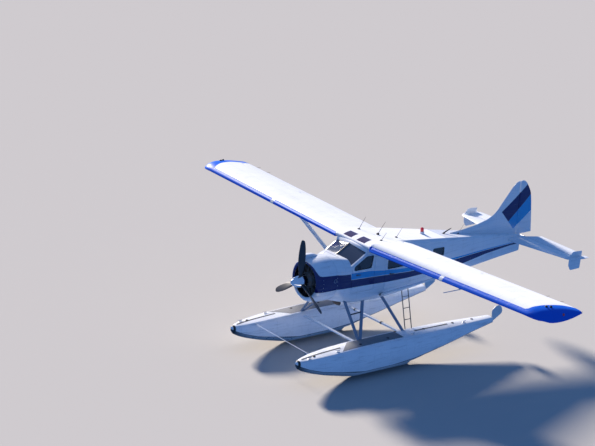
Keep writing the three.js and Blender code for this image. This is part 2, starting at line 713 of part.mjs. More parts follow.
// Nose, cabin, tail cone and everything that the cabin holds
const nose = hull(NOSE_SECTIONS, 0);
piece('nose_section', nose, NAVY);
makeEngineAndPropeller();

const [pipeStart, pipeBend, pipeEnd] = EXHAUST_BENDS;
const pipe = joined([rod(pipeStart, pipeBend, EXHAUST_RADIUS, 16), rod(pipeBend, pipeEnd, EXHAUST_RADIUS, 16),
  moved(solid(new THREE.SphereGeometry(EXHAUST_RADIUS, 12, 8)), ...pipeBend)]);
const pipeMouth = pipeEnd.map((value, axis) => value + 0.1 * (value - pipeBend[axis]));
const pipeBore = rod(pipeBend, pipeMouth, EXHAUST_BORE, 16);
piece('exhaust_pipe', clearOf(pipe.subtract(pipeBore), nose, [[0, 0, -1]]), ENGINE_METAL);

const cabin = makeCabin();
piece('cabin_floor', cabin.floor, WHITE);
piece('cabin_roof', cabin.roof, WHITE);
pair('skylight', cabin.skyGlass, GLASS);
let windshield = clearOf(cabin.pane, nose, [[0, 0, 1], [0, 1, 0]]);
windshield = clearOf(windshield, cabin.roof, [[0, -1, 0], [0, 0, -1]]);
piece('windshield', windshield, GLASS);
makeWallsAndDoors(cabin.walls);

const PANEL = [[CABIN_FRONT_Y, 40], [1700, 60], [1700, 380], [1745, 400], [1745, 420], [CABIN_FRONT_Y, 420]];
piece('instrument_panel', plate(PANEL, -600, 600), CABIN_GREY);

// Side outline of a seat, down to a foot inside the floor. Columns: y from its front edge, z
const seatOutline = (footZ) => [[0, -330], [120, -330], [120, footZ], [340, footZ], [340, -330], [500, -330],
  [600, 400], [510, 400], [410, -240], [0, -230]];
const seatPlate = (frontY, footZ, fromX, toX) => {
  const outline = seatOutline(footZ).map(([y, z]) => [y + frontY, z]);
  return clearOf(plate(outline, fromX, toX), cabin.floor, [[0, 0, 1]]);
};
pair('seat_front', seatPlate(1960, -650, 90, 530), SEAT_GREY);
piece('rear_bench', seatPlate(3120, -610, -520, 520), SEAT_GREY);

// Tail: the fin stands on the tail cone, and the tailplane passes through it.
const tailplaneRing = ([x, front, rear, half], sign) => {
  const at = (part, height) => [sign * x, front + part * (rear - front), TAILPLANE_Z + height * half];
  return [at(0, 0), at(0.06, 0.5), at(0.25, 1), at(0.6, 0.95), at(1, 0.62), at(1, -0.62), at(0.6, -0.95),
    at(0.25, -1), at(0.06, -0.5)];
};
const tipRing = ([x, front, rear, half]) => {
  const at = (part, height) => [x, front + part * (rear - front), TAILPLANE_Z + height * half];
  return [at(0, 0), at(0.06, 0.5), at(0.25, 1), at(0.6, 0.7), at(1, 0.12), at(1, -0.12), at(0.6, -0.7),
    at(0.25, -1), at(0.06, -0.5)];
};
const stabiliser = loft([
  ...TAILPLANE_SECTIONS.slice(1).reverse().map((section) => tailplaneRing(section, -1)),
  ...TAILPLANE_SECTIONS.map((section) => tailplaneRing(section, 1)),
]);
const tailTip = loft(TAILPLANE_TIP.map(tipRing));
const finlet = plate(FINLET, FINLET_X - FINLET_THICKNESS / 2, FINLET_X + FINLET_THICKNESS / 2, 40);
let tailplane = joined([stabiliser, tailTip, mirrored(tailTip)]);
const finletRoom = joined([moved(finlet, SEAT_GAP, 0, 0), moved(finlet, -SEAT_GAP, 0, 0),
  moved(finlet, 0, SEAT_GAP, 0), moved(finlet, 0, -SEAT_GAP, 0)]);
tailplane = tailplane.subtract(finletRoom).subtract(mirrored(finletRoom));
piece('tailplane', tailplane, WHITE);
pair('finlet', finlet, WHITE);

const stubCut = block(-300, 300, FIN_REAR_Y - 20, 9000, TAIL_STUB_Z, 700);
const tailOuter = hull(TAIL_SECTIONS, 0);
const roomSpan = block(-1000, 1000, TAIL_SECTIONS[0][0] + BULKHEAD, TAIL_ROOM_END_Y, -1000, 1000);
const [hatchFromX, hatchToX, ...hatchZ] = HATCH;
const hatch = block(hatchFromX, hatchToX, CABIN_REAR_Y - BULKHEAD, CABIN_REAR_Y + 2 * BULKHEAD, ...hatchZ);
const tailRoom = hull(TAIL_SECTIONS, -WALL).intersect(roomSpan);
let tailCone = tailOuter.subtract(tailRoom).subtract(hatch).subtract(stubCut);
tailCone = clearOf(tailCone, stabiliser, [[0, 0, 1], [0, 0, -1], [0, -1, 0]]);
piece('tail_cone', tailCone, WHITE);

const finRing = ([z, front, half]) => {
  const at = (part, width) => [width * half, front + part * (FIN_REAR_Y - front), z];
  return [at(0, 0.08), at(0.35, 0.7), at(0.7, 1), at(1, 0.95), at(1, -0.95), at(0.7, -1),
    at(0.35, -0.7), at(0, -0.08)];
};
const finBody = loft(FIN_SECTIONS.map(finRing));
piece('fin', clearOf(finBody, tailOuter, [[0, 0, 1]]), BLUE_WHITE);

const rudderRing = ([z, rear, half]) => {
  const nosePoints = [110, 145, 180, 215, 250].map((degrees) => {
    const angle = THREE.MathUtils.degToRad(degrees);
    return [half * Math.sin(angle), RUDDER_HINGE_Y + half * Math.cos(angle), z];
  });
  const back = RUDDER_HINGE_Y + 0.45 * (rear - RUDDER_HINGE_Y);
  return [[4, rear, z], [half * 0.72, back, z], [half, RUDDER_HINGE_Y, z], ...nosePoints,
    [-half, RUDDER_HINGE_Y, z], [-half * 0.72, back, z], [-4, rear, z]];
};
const pinEnds = [TAIL_STUB_Z + SEAT_GAP, 300].map((z) => [0, RUDDER_HINGE_Y, z]);
const rudderPin = rod(...pinEnds, RUDDER_PIN_RADIUS);
piece('rudder', loft(RUDDER_SECTIONS.map(rudderRing)).add(rudderPin), BLUE_WHITE);

// One half of the elevator, from its slanted inner edge to the finlet.
const elevatorRing = ([x, rear], [x2]) => {
  const nosePoints = [90, 125, 155, 180, 205, 235, 270].map((degrees) => {
    const angle = THREE.MathUtils.degToRad(degrees);
    const [forward, rise] = [Math.cos(angle), Math.sin(angle)].map((part) => part * ELEVATOR_NOSE);
    return [x2, ELEVATOR_HINGE_Y + forward, TAILPLANE_Z + rise];
  });
  const edgeZ = TAILPLANE_Z + ELEVATOR_RISE;
  return [[x, rear, edgeZ + 4], ...nosePoints, [x, rear, edgeZ - 4]];
};
const elevatorHalf = loft([
  elevatorRing(ELEVATOR_HALF[1], ELEVATOR_HALF[0]),
  elevatorRing(ELEVATOR_HALF[2], ELEVATOR_HALF[3]),
]);
const elevatorEnd = FINLET_X - FINLET_THICKNESS / 2 - SEAT_GAP;
const tubeEnds = [-elevatorEnd, elevatorEnd].map((x) => [x, ELEVATOR_HINGE_Y, TAILPLANE_Z]);
const torqueTube = rod(...tubeEnds, TORQUE_TUBE_RADIUS);
piece('elevator', joined([elevatorHalf, mirrored(elevatorHalf), torqueTube]), WHITE);

// Wings with their flaps and ailerons
const wing = makeWing();
pair('wing', wing, WHITE);
pair('flap', controlSurface(FLAP_BAY), WHITE);
pair('aileron', controlSurface(AILERON_BAY), WHITE);
const wingWhole = loft(WING_SECTIONS.map((section) => wingRing(...section)));
const fuselage = joined([nose, hull(CABIN_SECTIONS, 0)]);
let wingStrut = clearOf(bar(WING_STRUT, WING_STRUT_SIZE), wingWhole, [[0, 0, -1]]);
wingStrut = clearOf(wingStrut, fuselage, [[1, 0, 0], [0, 0, -1]]);
pair('wing_strut', wingStrut, STRUT_WHITE);

// Floats with the lugs that hold the water rudders
const floatRing = ([y, half, keel, chine, deck]) => {
  const [mostReach, mostFall, beamShare, heightShare, middleReach, middleFall] = DECK_EDGE;
  const reach = Math.min(mostReach, beamShare * half);
  const fall = Math.min(mostFall, heightShare * (deck - chine));
  const side = (sign) => [
    [FLOAT_X + sign * KEEL_HALF_WIDTH, y, keel],
    [FLOAT_X + sign * half, y, chine],
    [FLOAT_X + sign * half * 0.985, y, deck - fall],
    [FLOAT_X + sign * (half - middleReach * reach), y, deck - middleFall * fall],
    [FLOAT_X + sign * (half - reach), y, deck],
  ];
  return [...side(1), [FLOAT_X, y, deck + 16], ...side(-1).reverse()];
};
const floatBody = joined([loft(FLOAT_FRONT.map(floatRing)), loft(FLOAT_REAR.map(floatRing))]);
const sternY = FLOAT_REAR.at(-1)[0];
const lugs = STEER_Z.map((z, i) => {
  const low = i === 0 ? z - LUG_THICKNESS : z;
  return block(FLOAT_X - 26, FLOAT_X + 26, sternY - 10, STEER_Y + 24, low, low + LUG_THICKNESS);
});
pair('float', joined([floatBody, ...lugs]), FLOAT_WHITE);

const cheekInside = BLADE_THICKNESS / 2 + SEAT_GAP;
const head = joined([
  rod([FLOAT_X, STEER_Y, STEER_Z[0] + SEAT_GAP], [FLOAT_X, STEER_Y, STEER_Z[1] - SEAT_GAP], STEER_RADIUS),
  ...[[-HEAD_HALF_WIDTH, -cheekInside], [cheekInside, HEAD_HALF_WIDTH]].map(([from, to]) => block(
    FLOAT_X + from, FLOAT_X + to, STEER_Y, LIFT_Y + 22, LIFT_Z - HEAD_HALF_HEIGHT, LIFT_Z + HEAD_HALF_HEIGHT,
  )),
  rod([FLOAT_X - 14, LIFT_Y, LIFT_Z], [FLOAT_X + 14, LIFT_Y, LIFT_Z], LIFT_PIN),
]);
pair('water_rudder_head', head, ALUMINIUM);
const bladeOutline = WATER_BLADE.map(([y, z]) => [y + LIFT_Y, z + LIFT_Z]);
const bladeHole = rod([FLOAT_X - 30, LIFT_Y, LIFT_Z], [FLOAT_X + 30, LIFT_Y, LIFT_Z], LIFT_PIN + 1.8);
const waterBlade = plate(bladeOutline, FLOAT_X - BLADE_THICKNESS / 2, FLOAT_X + BLADE_THICKNESS / 2, 14);
pair('water_rudder_blade', waterBlade.subtract(bladeHole), ALUMINIUM);

// Struts between the fuselage and the floats
const seated = (body) => clearOf(clearOf(body, floatBody, [[0, 0, 1]]), fuselage, [[1, 0, 0], [0, 0, -1]]);
const strutAtStep = ([foot, top]) => {
  const part = (STEP_Z - foot[2]) / (top[2] - foot[2]);
  return foot.map((value, axis) => value + part * (top[axis] - value));
};
const frontStruts = joined([bar(FRONT_STRUT, FLOAT_STRUT_SIZE), bar(MIDDLE_STRUT, FLOAT_STRUT_SIZE),
  rod(strutAtStep(FRONT_STRUT), strutAtStep(MIDDLE_STRUT), STEP_RADIUS, 8)]);
pair('front_struts', seated(frontStruts), STRUT_WHITE);
pair('rear_strut', seated(bar(REAR_STRUT, FLOAT_STRUT_SIZE)), STRUT_WHITE);
SPREADER_Y.forEach((y, i) => {
  const ends = [[-FLOAT_X, y, SPREADER_Z], [FLOAT_X, y, SPREADER_Z]];
  const whole = clearOf(bar(ends, SPREADER_SIZE), floatBody, [[-1, 0, 0]]);
  piece(['spreader_front', 'spreader_rear'][i], clearOf(whole, mirrored(floatBody), [[1, 0, 0]]), WHITE);
});

const ladderAt = (part, offset) => LADDER_FOOT.map((value, axis) => {
  const shift = axis === 1 ? offset : 0;
  return value + part * (LADDER_TOP[axis] - value) + shift;
});
const [ladderFront, ladderRear] = [-LADDER_HALF_WIDTH, LADDER_HALF_WIDTH];
const ladderRail = (offset) => rod(ladderAt(0, offset), ladderAt(1, offset), LADDER_TUBE, 8);
const ladderRung = (part) => rod(ladderAt(part, ladderFront), ladderAt(part, ladderRear), LADDER_RUNG, 8);
const ladder = joined([
  ...[ladderFront, ladderRear].map(ladderRail),
  ...LADDER_RUNGS.map(ladderRung),
]);
pair('ladder', seated(ladder), STRUT_WHITE);

aircraft.position.set(0, -MIDDLE_Y, KEEL_DROP);
export default aircraft;
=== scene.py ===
"""Floatplane on twin floats: smooth skins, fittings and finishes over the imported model.

Every size is in metres from the tip of the propeller spinner: x to the aircraft's left, y aft, z up.
"""
import json
from math import atan2, copysign, cos, exp, pi, radians, sin, sqrt, tan, tau

import bmesh
import bpy
from mathutils import Matrix, Vector

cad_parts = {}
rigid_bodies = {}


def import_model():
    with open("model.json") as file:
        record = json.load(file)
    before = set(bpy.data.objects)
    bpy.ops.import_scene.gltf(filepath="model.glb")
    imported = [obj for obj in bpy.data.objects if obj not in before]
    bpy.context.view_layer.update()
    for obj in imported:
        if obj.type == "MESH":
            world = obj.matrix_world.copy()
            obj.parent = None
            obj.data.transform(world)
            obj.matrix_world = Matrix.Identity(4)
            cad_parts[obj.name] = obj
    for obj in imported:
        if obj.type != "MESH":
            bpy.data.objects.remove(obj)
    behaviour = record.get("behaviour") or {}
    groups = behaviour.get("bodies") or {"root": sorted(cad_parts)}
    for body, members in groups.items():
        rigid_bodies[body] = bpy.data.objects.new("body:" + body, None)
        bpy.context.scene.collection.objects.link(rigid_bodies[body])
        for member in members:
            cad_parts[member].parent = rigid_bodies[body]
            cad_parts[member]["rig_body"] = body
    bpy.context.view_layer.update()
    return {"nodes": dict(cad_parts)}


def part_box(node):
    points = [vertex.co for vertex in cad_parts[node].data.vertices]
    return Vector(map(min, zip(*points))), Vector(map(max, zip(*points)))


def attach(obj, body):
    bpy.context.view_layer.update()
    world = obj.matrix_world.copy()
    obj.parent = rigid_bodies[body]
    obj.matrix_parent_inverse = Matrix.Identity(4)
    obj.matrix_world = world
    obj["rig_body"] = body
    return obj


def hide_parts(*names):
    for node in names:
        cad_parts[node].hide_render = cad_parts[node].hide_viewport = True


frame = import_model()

SPINNER_LOW, SPINNER_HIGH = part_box("spinner")
HOME = Matrix.Translation((0, SPINNER_LOW.y, (SPINNER_LOW.z + SPINNER_HIGH.z) / 2))
MIRROR = Matrix.Scale(-1, 4, (1, 0, 0))
SIDES = (("left", Matrix.Identity(4)), ("right", MIRROR))
# Points nearer than this are one point
MERGE = 2e-5

# Wing. The leading edge outboard of CUFF_X reaches further ahead and down over the first share of the chord
CHORD, CAMBER, THICKNESS = 1.587, 0.024, 0.157
WING_Y, WING_Z, ROOT_X = 2.075, 0.889, 0.665
INCIDENCE, DIHEDRAL = 0.0524, radians(2.09)
HINGE_PART = 0.775
FLAP_BAY, AILERON_BAY, SURFACE_GAP = (0.77, 3.888), (3.952, 6.74), 0.008
CUFF_X, CUFF_REACH, CUFF_DROP, CUFF_SHARE = 0.735, 0.028, 0.056, 0.2
# Fall of the tip's surface along the chord: at the front, for each part of the chord, and for its square
DROOP = (0.82, 0.9, -1.42)
# Columns: x, front edge behind the leading edge, rear edge behind it, scale above, scale below, droop, cuff
WING_TIP = (
    (6.75, 0, 1.587, 1, 1, 0, 1),
    (6.9, 0.008, 1.587, 1, 1, 0.01, 1),
    (7.05, 0.045, 1.586, 0.97, 0.98, 0.032, 1),
    (7.16, 0.11, 1.584, 0.88, 0.88, 0.058, 1),
    (7.25, 0.205, 1.58, 0.64, 0.68, 0.104, 0.6),
    (7.315, 0.335, 1.573, 0.2, 0.2, 0.205, 0),
)
# Inner and outer x, front and rear y
SKYLIGHT = (0.11, 0.46, 2.125, 2.39)
# Inner and outer end of a landing lamp, and half the width of the white paint round it
LAMP_X, LAMP_CLEAR = (3.6, 3.73), 0.07
# Room between a pane or panel and what it fits in, and how far heads stand off their skin
SLIT, HAIR = 0.0004, 0.0005

# Fuselage. Columns: y, half width, top, bottom, top corner radius, bottom corner radius
NOSE = (
    (1.16, 0.632, 0.628, -0.625, 0.6, 0.6),
    (1.37, 0.648, 0.622, -0.64, 0.4, 0.33),
    (1.5596, 0.655, 0.604, -0.655, 0.25, 0.18),
)
CABIN = (
    (1.56, 0.655, 1.05, -0.655, 0.06, 0.18),
    (1.87, 0.66, 1.05, -0.675, 0.06, 0.15),
    (2.6, 0.66, 1.042, -0.7, 0.08, 0.15),
    (3.662, 0.655, 0.905, -0.62, 0.075, 0.15),
    (5.25, 0.478, 0.692, -0.512, 0.075, 0.14),
)
TAIL_CONE = (
    (5.2504, 0.478, 0.692, -0.512, 0.075, 0.14),
    (6.29, 0.365, 0.552, -0.441, 0.07, 0.12),
    (7.73, 0.202, 0.358, -0.344, 0.06, 0.09),
    (8.6, 0.105, 0.24, -0.285, 0.04, 0.05),
)
# Foot of the windshield, and how far it goes aft for each metre across and up
PANE_Y, PANE_Z, PANE_SWEEP, PANE_RAKE = 1.5, 0.585, 0.4386, 1.649
# Outlines of the windows: y, z
COCKPIT_WINDOW = ((1.684, 0.3), (2.29, 0.3), (2.35, 0.662), (2.1, 0.662), (1.684, 0.404))
CABIN_WINDOW = ((2.905, 0.17), (3.74, 0.175), (3.74, 0.64), (2.905, 0.64))
REAR_WINDOW = ((4.69, 0.195), (5.16, 0.2), (5.16, 0.445), (4.69, 0.47))

# Engine, cowling and propeller. Columns of the cowl: radius, y. Columns of a blade: radius, chord, thickness, pitch
COWL = (
    (0.47, 0.506), (0.473, 0.492), (0.482, 0.481), (0.498, 0.476), (0.52, 0.4765), (0.54, 0.482),
    (0.561, 0.494), (0.58, 0.512), (0.595, 0.542), (0.606, 0.58), (0.617, 0.64), (0.624, 0.7),
    (0.6305, 0.78), (0.634, 0.86), (0.6365, 0.94), (0.637, 1.02), (0.6365, 1.09), (0.634, 1.1596),
    (0.612, 1.1596), (0.614, 1.0), (0.61, 0.85), (0.604, 0.72), (0.592, 0.64), (0.572, 0.58), (0.52, 0.53),
)
ENGINE_Y, CYLINDERS = 0.74, 9
SPINNER_LENGTH, SPINNER_RADIUS, SPINNER_WALL = 0.455, 0.182, 0.0074
PROPELLER_Y, BLADE_COUNT = 0.32, 3
SCOOP_X = -0.15
BLADES = (
    (0.06, 0.096, 0.092, 50), (0.23, 0.104, 0.084, 46), (0.4, 0.176, 0.044, 38), (0.7, 0.214, 0.028, 27),
    (0.96, 0.19, 0.018, 20), (1.12, 0.138, 0.012, 17), (1.155, 0.112, 0.01, 16.4), (1.18, 0.06, 0.008, 16),
)
EXHAUST = ((0.3, 1.28, -0.52), (0.3, 1.4, -0.69), (0.3, 1.545, -0.742))

# Tail. Columns of the fin: z, front edge y, half thickness. Columns of the rudder: z, rear edge y, half thickness
FIN_REAR = 8.445
FIN = (
    (0.08, 5.79, 0.046), (0.64, 5.79, 0.046), (0.672, 6.3, 0.045), (0.76, 6.89, 0.044), (0.89, 7.35, 0.042),
    (1.06, 7.61, 0.04), (1.31, 7.82, 0.036), (1.56, 8.03, 0.031), (1.78, 8.225, 0.026), (1.85, 8.32, 0.023),
    (1.888, 8.41, 0.016),
)
RUDDER_HINGE = 8.5
RUDDER = (
    (0.23, 9.13, 0.038), (0.92, 9.045, 0.036), (1.45, 8.95, 0.031), (1.73, 8.79, 0.026), (1.84, 8.69, 0.022),
    (1.888, 8.6, 0.015),
)
TAILPLANE_Z = 0.15
# Columns: x, front edge y, rear edge y, half thickness
TAILPLANE = ((0, 8.01, 8.715, 0.044), (0.45, 8.055, 8.715, 0.042), (2.24, 8.405, 8.715, 0.027))
TAILPLANE_TIP = ((2.236, 8.404, 9.15, 0.027), (2.345, 8.53, 9.16, 0.022), (2.42, 8.83, 9.16, 0.01))
ELEVATOR_HINGE, ELEVATOR_NOSE, ELEVATOR_RISE = 8.762, 0.028, 0.034
FINLET_X, FINLET_HALF = 2.24, 0.007
FINLET = ((8.6, -0.215), (8.985, -0.205), (9.015, 0.33), (8.65, 0.345), (8.515, 0.21), (8.505, -0.06))

# Floats. Columns: y, half beam, keel, chine, deck
FLOAT_X = 1.458
FLOAT_FRONT = (
    (-0.8, 0.034, -1.772, -1.725, -1.664),
    (-0.7, 0.11, -1.88, -1.775, -1.634),
    (-0.47, 0.21, -1.99, -1.862, -1.604),
    (-0.06, 0.29, -2.13, -1.972, -1.566),
    (0.57, 0.335, -2.29, -2.082, -1.53),
    (1.4, 0.342, -2.43, -2.205, -1.5),
    (2.4, 0.342, -2.43, -2.195, -1.49),
    (3.25, 0.342, -2.43, -2.14, -1.49),
)
FLOAT_REAR = (
    (3.15, 0.34, -2.37, -2.145, -1.492),
    (3.3, 0.34, -2.364, -2.13, -1.492),
    (4.3, 0.322, -2.16, -1.965, -1.498),
    (5.4, 0.252, -1.93, -1.772, -1.508),
    (6.31, 0.165, -1.745, -1.652, -1.528),
)
# Deck edge: most reach inwards, most fall, shares of half beam and side height
DECK_EDGE = (0.09, 0.095, 0.36, 0.5)
DECK_CROWN, MAT_HALF = 0.016, 0.004
STERN_LUGS = (-1.704, -1.58)
# Struts, from the lower end to the upper one, and their chord and thickness
WING_STRUT = ((0.655, 2.746, -0.553), (3.29, 2.555, 0.893))
FRONT_STRUT = ((1.3, 1.52, -1.545), (0.525, 1.49, -0.51))
MIDDLE_STRUT = ((1.3, 1.56, -1.545), (0.525, 2.188, -0.61))
REAR_STRUT = ((1.3, 3.16, -1.545), (0.51, 2.854, -0.612))
FLOAT_STRUT_SIZE, WING_STRUT_SIZE = (0.104, 0.046), (0.14, 0.052)
SPREADERS = {"spreader_front": 1.54, "spreader_rear": 3.2}
SPREADER_Z, SPREADER_SIZE = -1.6, (0.096, 0.06)
LADDER_FOOT, LADDER_TOP = Vector((1.26, 3.36, -1.51)), Vector((0.515, 3.735, -0.5))
LADDER_HALF, FOOT_RAIL_Z = 0.12, -0.905

# Paints, as linear light
NAVY = (0.002, 0.004, 0.1)
ROYAL = (0.006, 0.115, 0.64)
SKY = (0.02, 0.34, 0.7)
MID_BLUE = (0.008, 0.32, 0.66)
WHITE = (0.84, 0.85, 0.86)


# Forms

class Form:
    """Corners and faces of a shape."""

    def __init__(self, corners=(), faces=()):
        self.corners = [Vector(corner) for corner in corners]
        self.faces = [tuple(face) for face in faces]

    def __add__(self, other):
        count = len(self.corners)
        return Form(self.corners + other.corners, self.faces + [tuple(i + count for i in f) for f in other.faces])

    def put(self, matrix):
        """The same shape moved, turned or mirrored."""
        faces = [f[::-1] for f in self.faces] if matrix.determinant() < 0 else self.faces
        return Form([matrix @ corner for corner in self.corners], faces)

    def both(self):
        """The shape and its mirror image on the other side."""
        return self + self.put(MIRROR)


def joined(forms):
    return sum(forms, Form())


def net(rows, around=True, along=False):
    """Faces between rows of points, closed around each row, along the rows, or both."""
    count, length = len(rows[0]), len(rows)
    faces = []
    for row in range(length if along else length - 1):
        after = (row + 1) % length
        for i in range(count if around else count - 1):
            j = (i + 1) % count
            faces.append((row * count + i, row * count + j, after * count + j, after * count + i))
    return Form([point for row in rows for point in row], faces)


def loft(rows):
    """Closed skin over rings of points."""
    form = net(rows)
    count, total = len(rows[0]), len(form.corners)
    form.faces += [tuple(range(count))[::-1], tuple(range(total - count, total))]
    return form


def turned(profile, sides, closed=True):
    """Shape of revolution about the thrust line. Columns of the profile: radius, y"""
    rows = [[(radius * u, y, radius * v) for radius, y in profile] for u, v in circle(1, sides)]
    return net(rows, around=closed, along=True)


def upright(profile, sides, base, facing=(0, 0, 1)):
    """Shape of revolution that stands on a point. Columns of the profile: radius, height"""
    if profile[0][0]:
        profile = [(0, profile[0][1]), *profile]
    turn = Vector((0, 1, 0)).rotation_difference(Vector(facing)).to_matrix().to_4x4()
    return turned(profile, sides, closed=False).put(Matrix.Translation(base) @ turn)


def sweep(path, section, loop=False, up=None):
    """Section of (across, over) points carried along a path. It may change from point to point."""
    path = [Vector(point) for point in path]
    last = len(path) - 1
    rows, side = [], None
    for i, point in enumerate(path):
        before = path[i - 1] if i > 0 or loop else point
        after = path[(i + 1) % len(path)] if i < last or loop else point
        ahead = (after - before).normalized()
        if up is not None:
            side = ahead.cross(Vector(up)).normalized()
        elif side is None:
            side = ahead.orthogonal().normalized()
        side = (side - ahead * side.dot(ahead)).normalized()
        over = side.cross(ahead)
        points = section[i] if isinstance(section[0][0], (tuple, list)) else section
        rows.append([point + side * across + over * rise for across, rise in points])
    return net(rows, along=True) if loop else loft(rows)


def arc(radius, start, end, steps, flat=1.0):
    """Points of an arc between two angles in degrees."""
    turns = [radians(start + (end - start) * i / steps) for i in range(steps + 1)]
    return [(radius * cos(turn), radius * flat * sin(turn)) for turn in turns]


def circle(radius, sides=12, flat=1.0):
    return arc(radius, 0, 360, sides, flat)[:-1]


def tube(path, radius, sides=12, loop=False):
    return sweep(path, circle(radius, sides), loop)


def streamlined(ends, size, sides=28):
    """Strut with its chord along the line of flight, blunt in front and slim behind."""
    start, end = (Vector(point) for point in ends)
    ahead = (end - start).normalized()
    aft = Vector((0, 1, 0))
    aft = (aft - ahead * aft.dot(ahead)).normalized()
    across = ahead.cross(aft)
    section = [aft * (u * size[0] / 2) + across * (v * (1 - 0.25 * u) * size[1] / 2) for u, v in circle(1, sides)]
    return loft([[centre + point for point in section] for centre in (start, end)])


def bent(enter, here, leave, steps):
    """Points of a smooth bend."""
    parts = [step / steps for step in range(steps + 1)]
    return [enter.lerp(here, part).lerp(here.lerp(leave, part), part) for part in parts]


def rounded(points, radius, steps=5):
    """Outline with each corner rounded."""
    points = [Vector(point) for point in points]
    outline = []
    for before, here, after in zip(points[-1:] + points, points, points[1:] + points[:1]):
        enter, leave = (here + (other - here).normalized() * radius for other in (before, after))
        outline += [tuple(point) for point in bent(enter, here, leave, steps)]
    return outline


def plate(outline, low_x, high_x):
    """Outline of (y, z) points given a thickness across the aircraft."""
    return loft([[(x, y, z) for y, z in outline] for x in (low_x, high_x)])


def block(low, high):
    (x0, y0, z0), (x1, y1, z1) = low, high
    return loft([[(x, y0, z0), (x, y1, z0), (x, y1, z1), (x, y0, z1)] for x in (x0, x1)])


def eased(table, steps):
    """More rows between the rows of a table, on smooth curves that never overshoot."""
    places = [row[0] for row in table]
    gaps = [b - a for a, b in zip(places, places[1:])]
    columns = []
    for values in list(zip(*table))[1:]:
        rates = [(v - u) / gap for u, v, gap in zip(values, values[1:], gaps)]
        inner = [0 if r * s <= 0 else 2 * r * s / (r + s) for r, s in zip(rates, rates[1:])]
        columns.append((values, [rates[0], *inner, rates[-1]]))
    rows = []
    for i, gap in enumerate(gaps):
        for step in range(steps):
            t = step / steps
            row = [places[i] + t * gap]
            for values, slopes in columns:
                row.append((1 + 2 * t) * (1 - t) ** 2 * values[i] + t * (1 - t) ** 2 * gap * slopes[i]
                           + t * t * (3 - 2 * t) * values[i + 1] + t * t * (t - 1) * gap * slopes[i + 1])
            rows.append(row)
    return rows + [list(table[-1])]


def between(table, place):
    """One row of a table at a place between its rows, on straight lines."""
    place = min(max(place, table[0][0]), table[-1][0])
    for low, high in zip(table, table[1:]):
        if place <= high[0]:
            part = (place - low[0]) / (high[0] - low[0])
            return [a + part * (b - a) for a, b in zip(low, high)]
    return list(table[-1])


# Pieces

def mesh_of(name, form):
    mesh = bpy.data.meshes.new(name)
    bm = bmesh.new()
    corners = [bm.verts.new(corner) for corner in form.corners]
    for face in form.faces:
        bm.faces.new([corners[i] for i in face])
    bmesh.ops.remove_doubles(bm, verts=bm.verts, dist=MERGE)
    bmesh.ops.dissolve_degenerate(bm, dist=1e-5, edges=bm.edges)
    bmesh.ops.recalc_face_normals(bm, faces=bm.faces)
    bm.transform(HOME)
    bm.to_mesh(mesh)
    bm.free()
    return mesh


def shown(name, mesh):
    obj = bpy.data.objects.new(name, mesh)
    bpy.context.scene.collection.objects.link(obj)
    return obj


def baked(obj):
    """Puts the result of an object's modifiers in its mesh, and takes the modifiers off."""
    evaluated = obj.evaluated_get(bpy.context.evaluated_depsgraph_get())
    mesh = bpy.data.meshes.new_from_object(evaluated)
    obj.modifiers.clear()
    obj.data = mesh
    return obj


def carved(obj, forms, operation="DIFFERENCE"):
    """Cuts forms out of an object, or keeps only what is inside them."""
    for form in forms:
        tool = shown("cutter", mesh_of("cutter", form))
        step = obj.modifiers.new("cut", "BOOLEAN")
        step.operation, step.solver, step.object = operation, "EXACT", tool
        baked(obj)
        bpy.data.objects.remove(tool)
    return obj


def dressed(obj, material, body, slot, replaces=(), crease=35.0, bevel=0.0):
    """Gives a finished object its surface, its body and the CAD nodes that it stands for."""
    obj.data.materials.clear()
    obj.data.materials.append(material)
    obj.data.shade_smooth()
    obj.data.set_sharp_from_angle(angle=radians(crease))
    if bevel:
        edge = obj.modifiers.new("edges", "BEVEL")
        edge.width, edge.segments = bevel, 2
        edge.limit_method, edge.angle_limit = "ANGLE", radians(crease)
        obj.modifiers.new("shading", "WEIGHTED_NORMAL").keep_sharp = True
    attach(obj, body)
    if replaces:
        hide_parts(*replaces)
    return obj


def piece(name, form, material, slot, body="airframe", replaces=(), crease=35.0, bevel=0.0, holes=(), keep=()):
    obj = carved(carved(shown(name, mesh_of(name, form)), holes), keep, "INTERSECT")
    return dressed(obj, material, body, slot, replaces, crease, bevel)


def sides(name, form, material, slot, body="airframe", replaces=(), **settings):
    """The same piece on the left and mirrored on the right. A * stands for the side in each name."""
    for side, matrix in SIDES:
        cuts = {key: [cut.put(matrix) for cut in settings.get(key, ())] for key in ("holes", "keep")}
        piece(name.replace("*", side), form.put(matrix), material, slot, body.replace("*", side),
              [node.replace("*", side) for node in replaces], **{**settings, **cuts})


def refined(node, material, slot, bevel=0.003):
    """A CAD node with its flat faces made whole and its edges rounded."""
    source = frame["nodes"][node]
    mesh = source.data.copy()
    bm = bmesh.new()
    bm.from_mesh(mesh)
    bmesh.ops.remove_doubles(bm, verts=bm.verts, dist=MERGE)
    bmesh.ops.dissolve_limit(bm, angle_limit=radians(1), verts=bm.verts, edges=bm.edges)
    bm.to_mesh(mesh)
    bm.free()
    for name in ("custom_normal", "sharp_face"):
        if name in mesh.attributes:
            mesh.attributes.remove(mesh.attributes[name])
    return dressed(shown(node + "_finished", mesh), material, source["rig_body"], slot, (node,), bevel=bevel)


# Shader and geometry trees

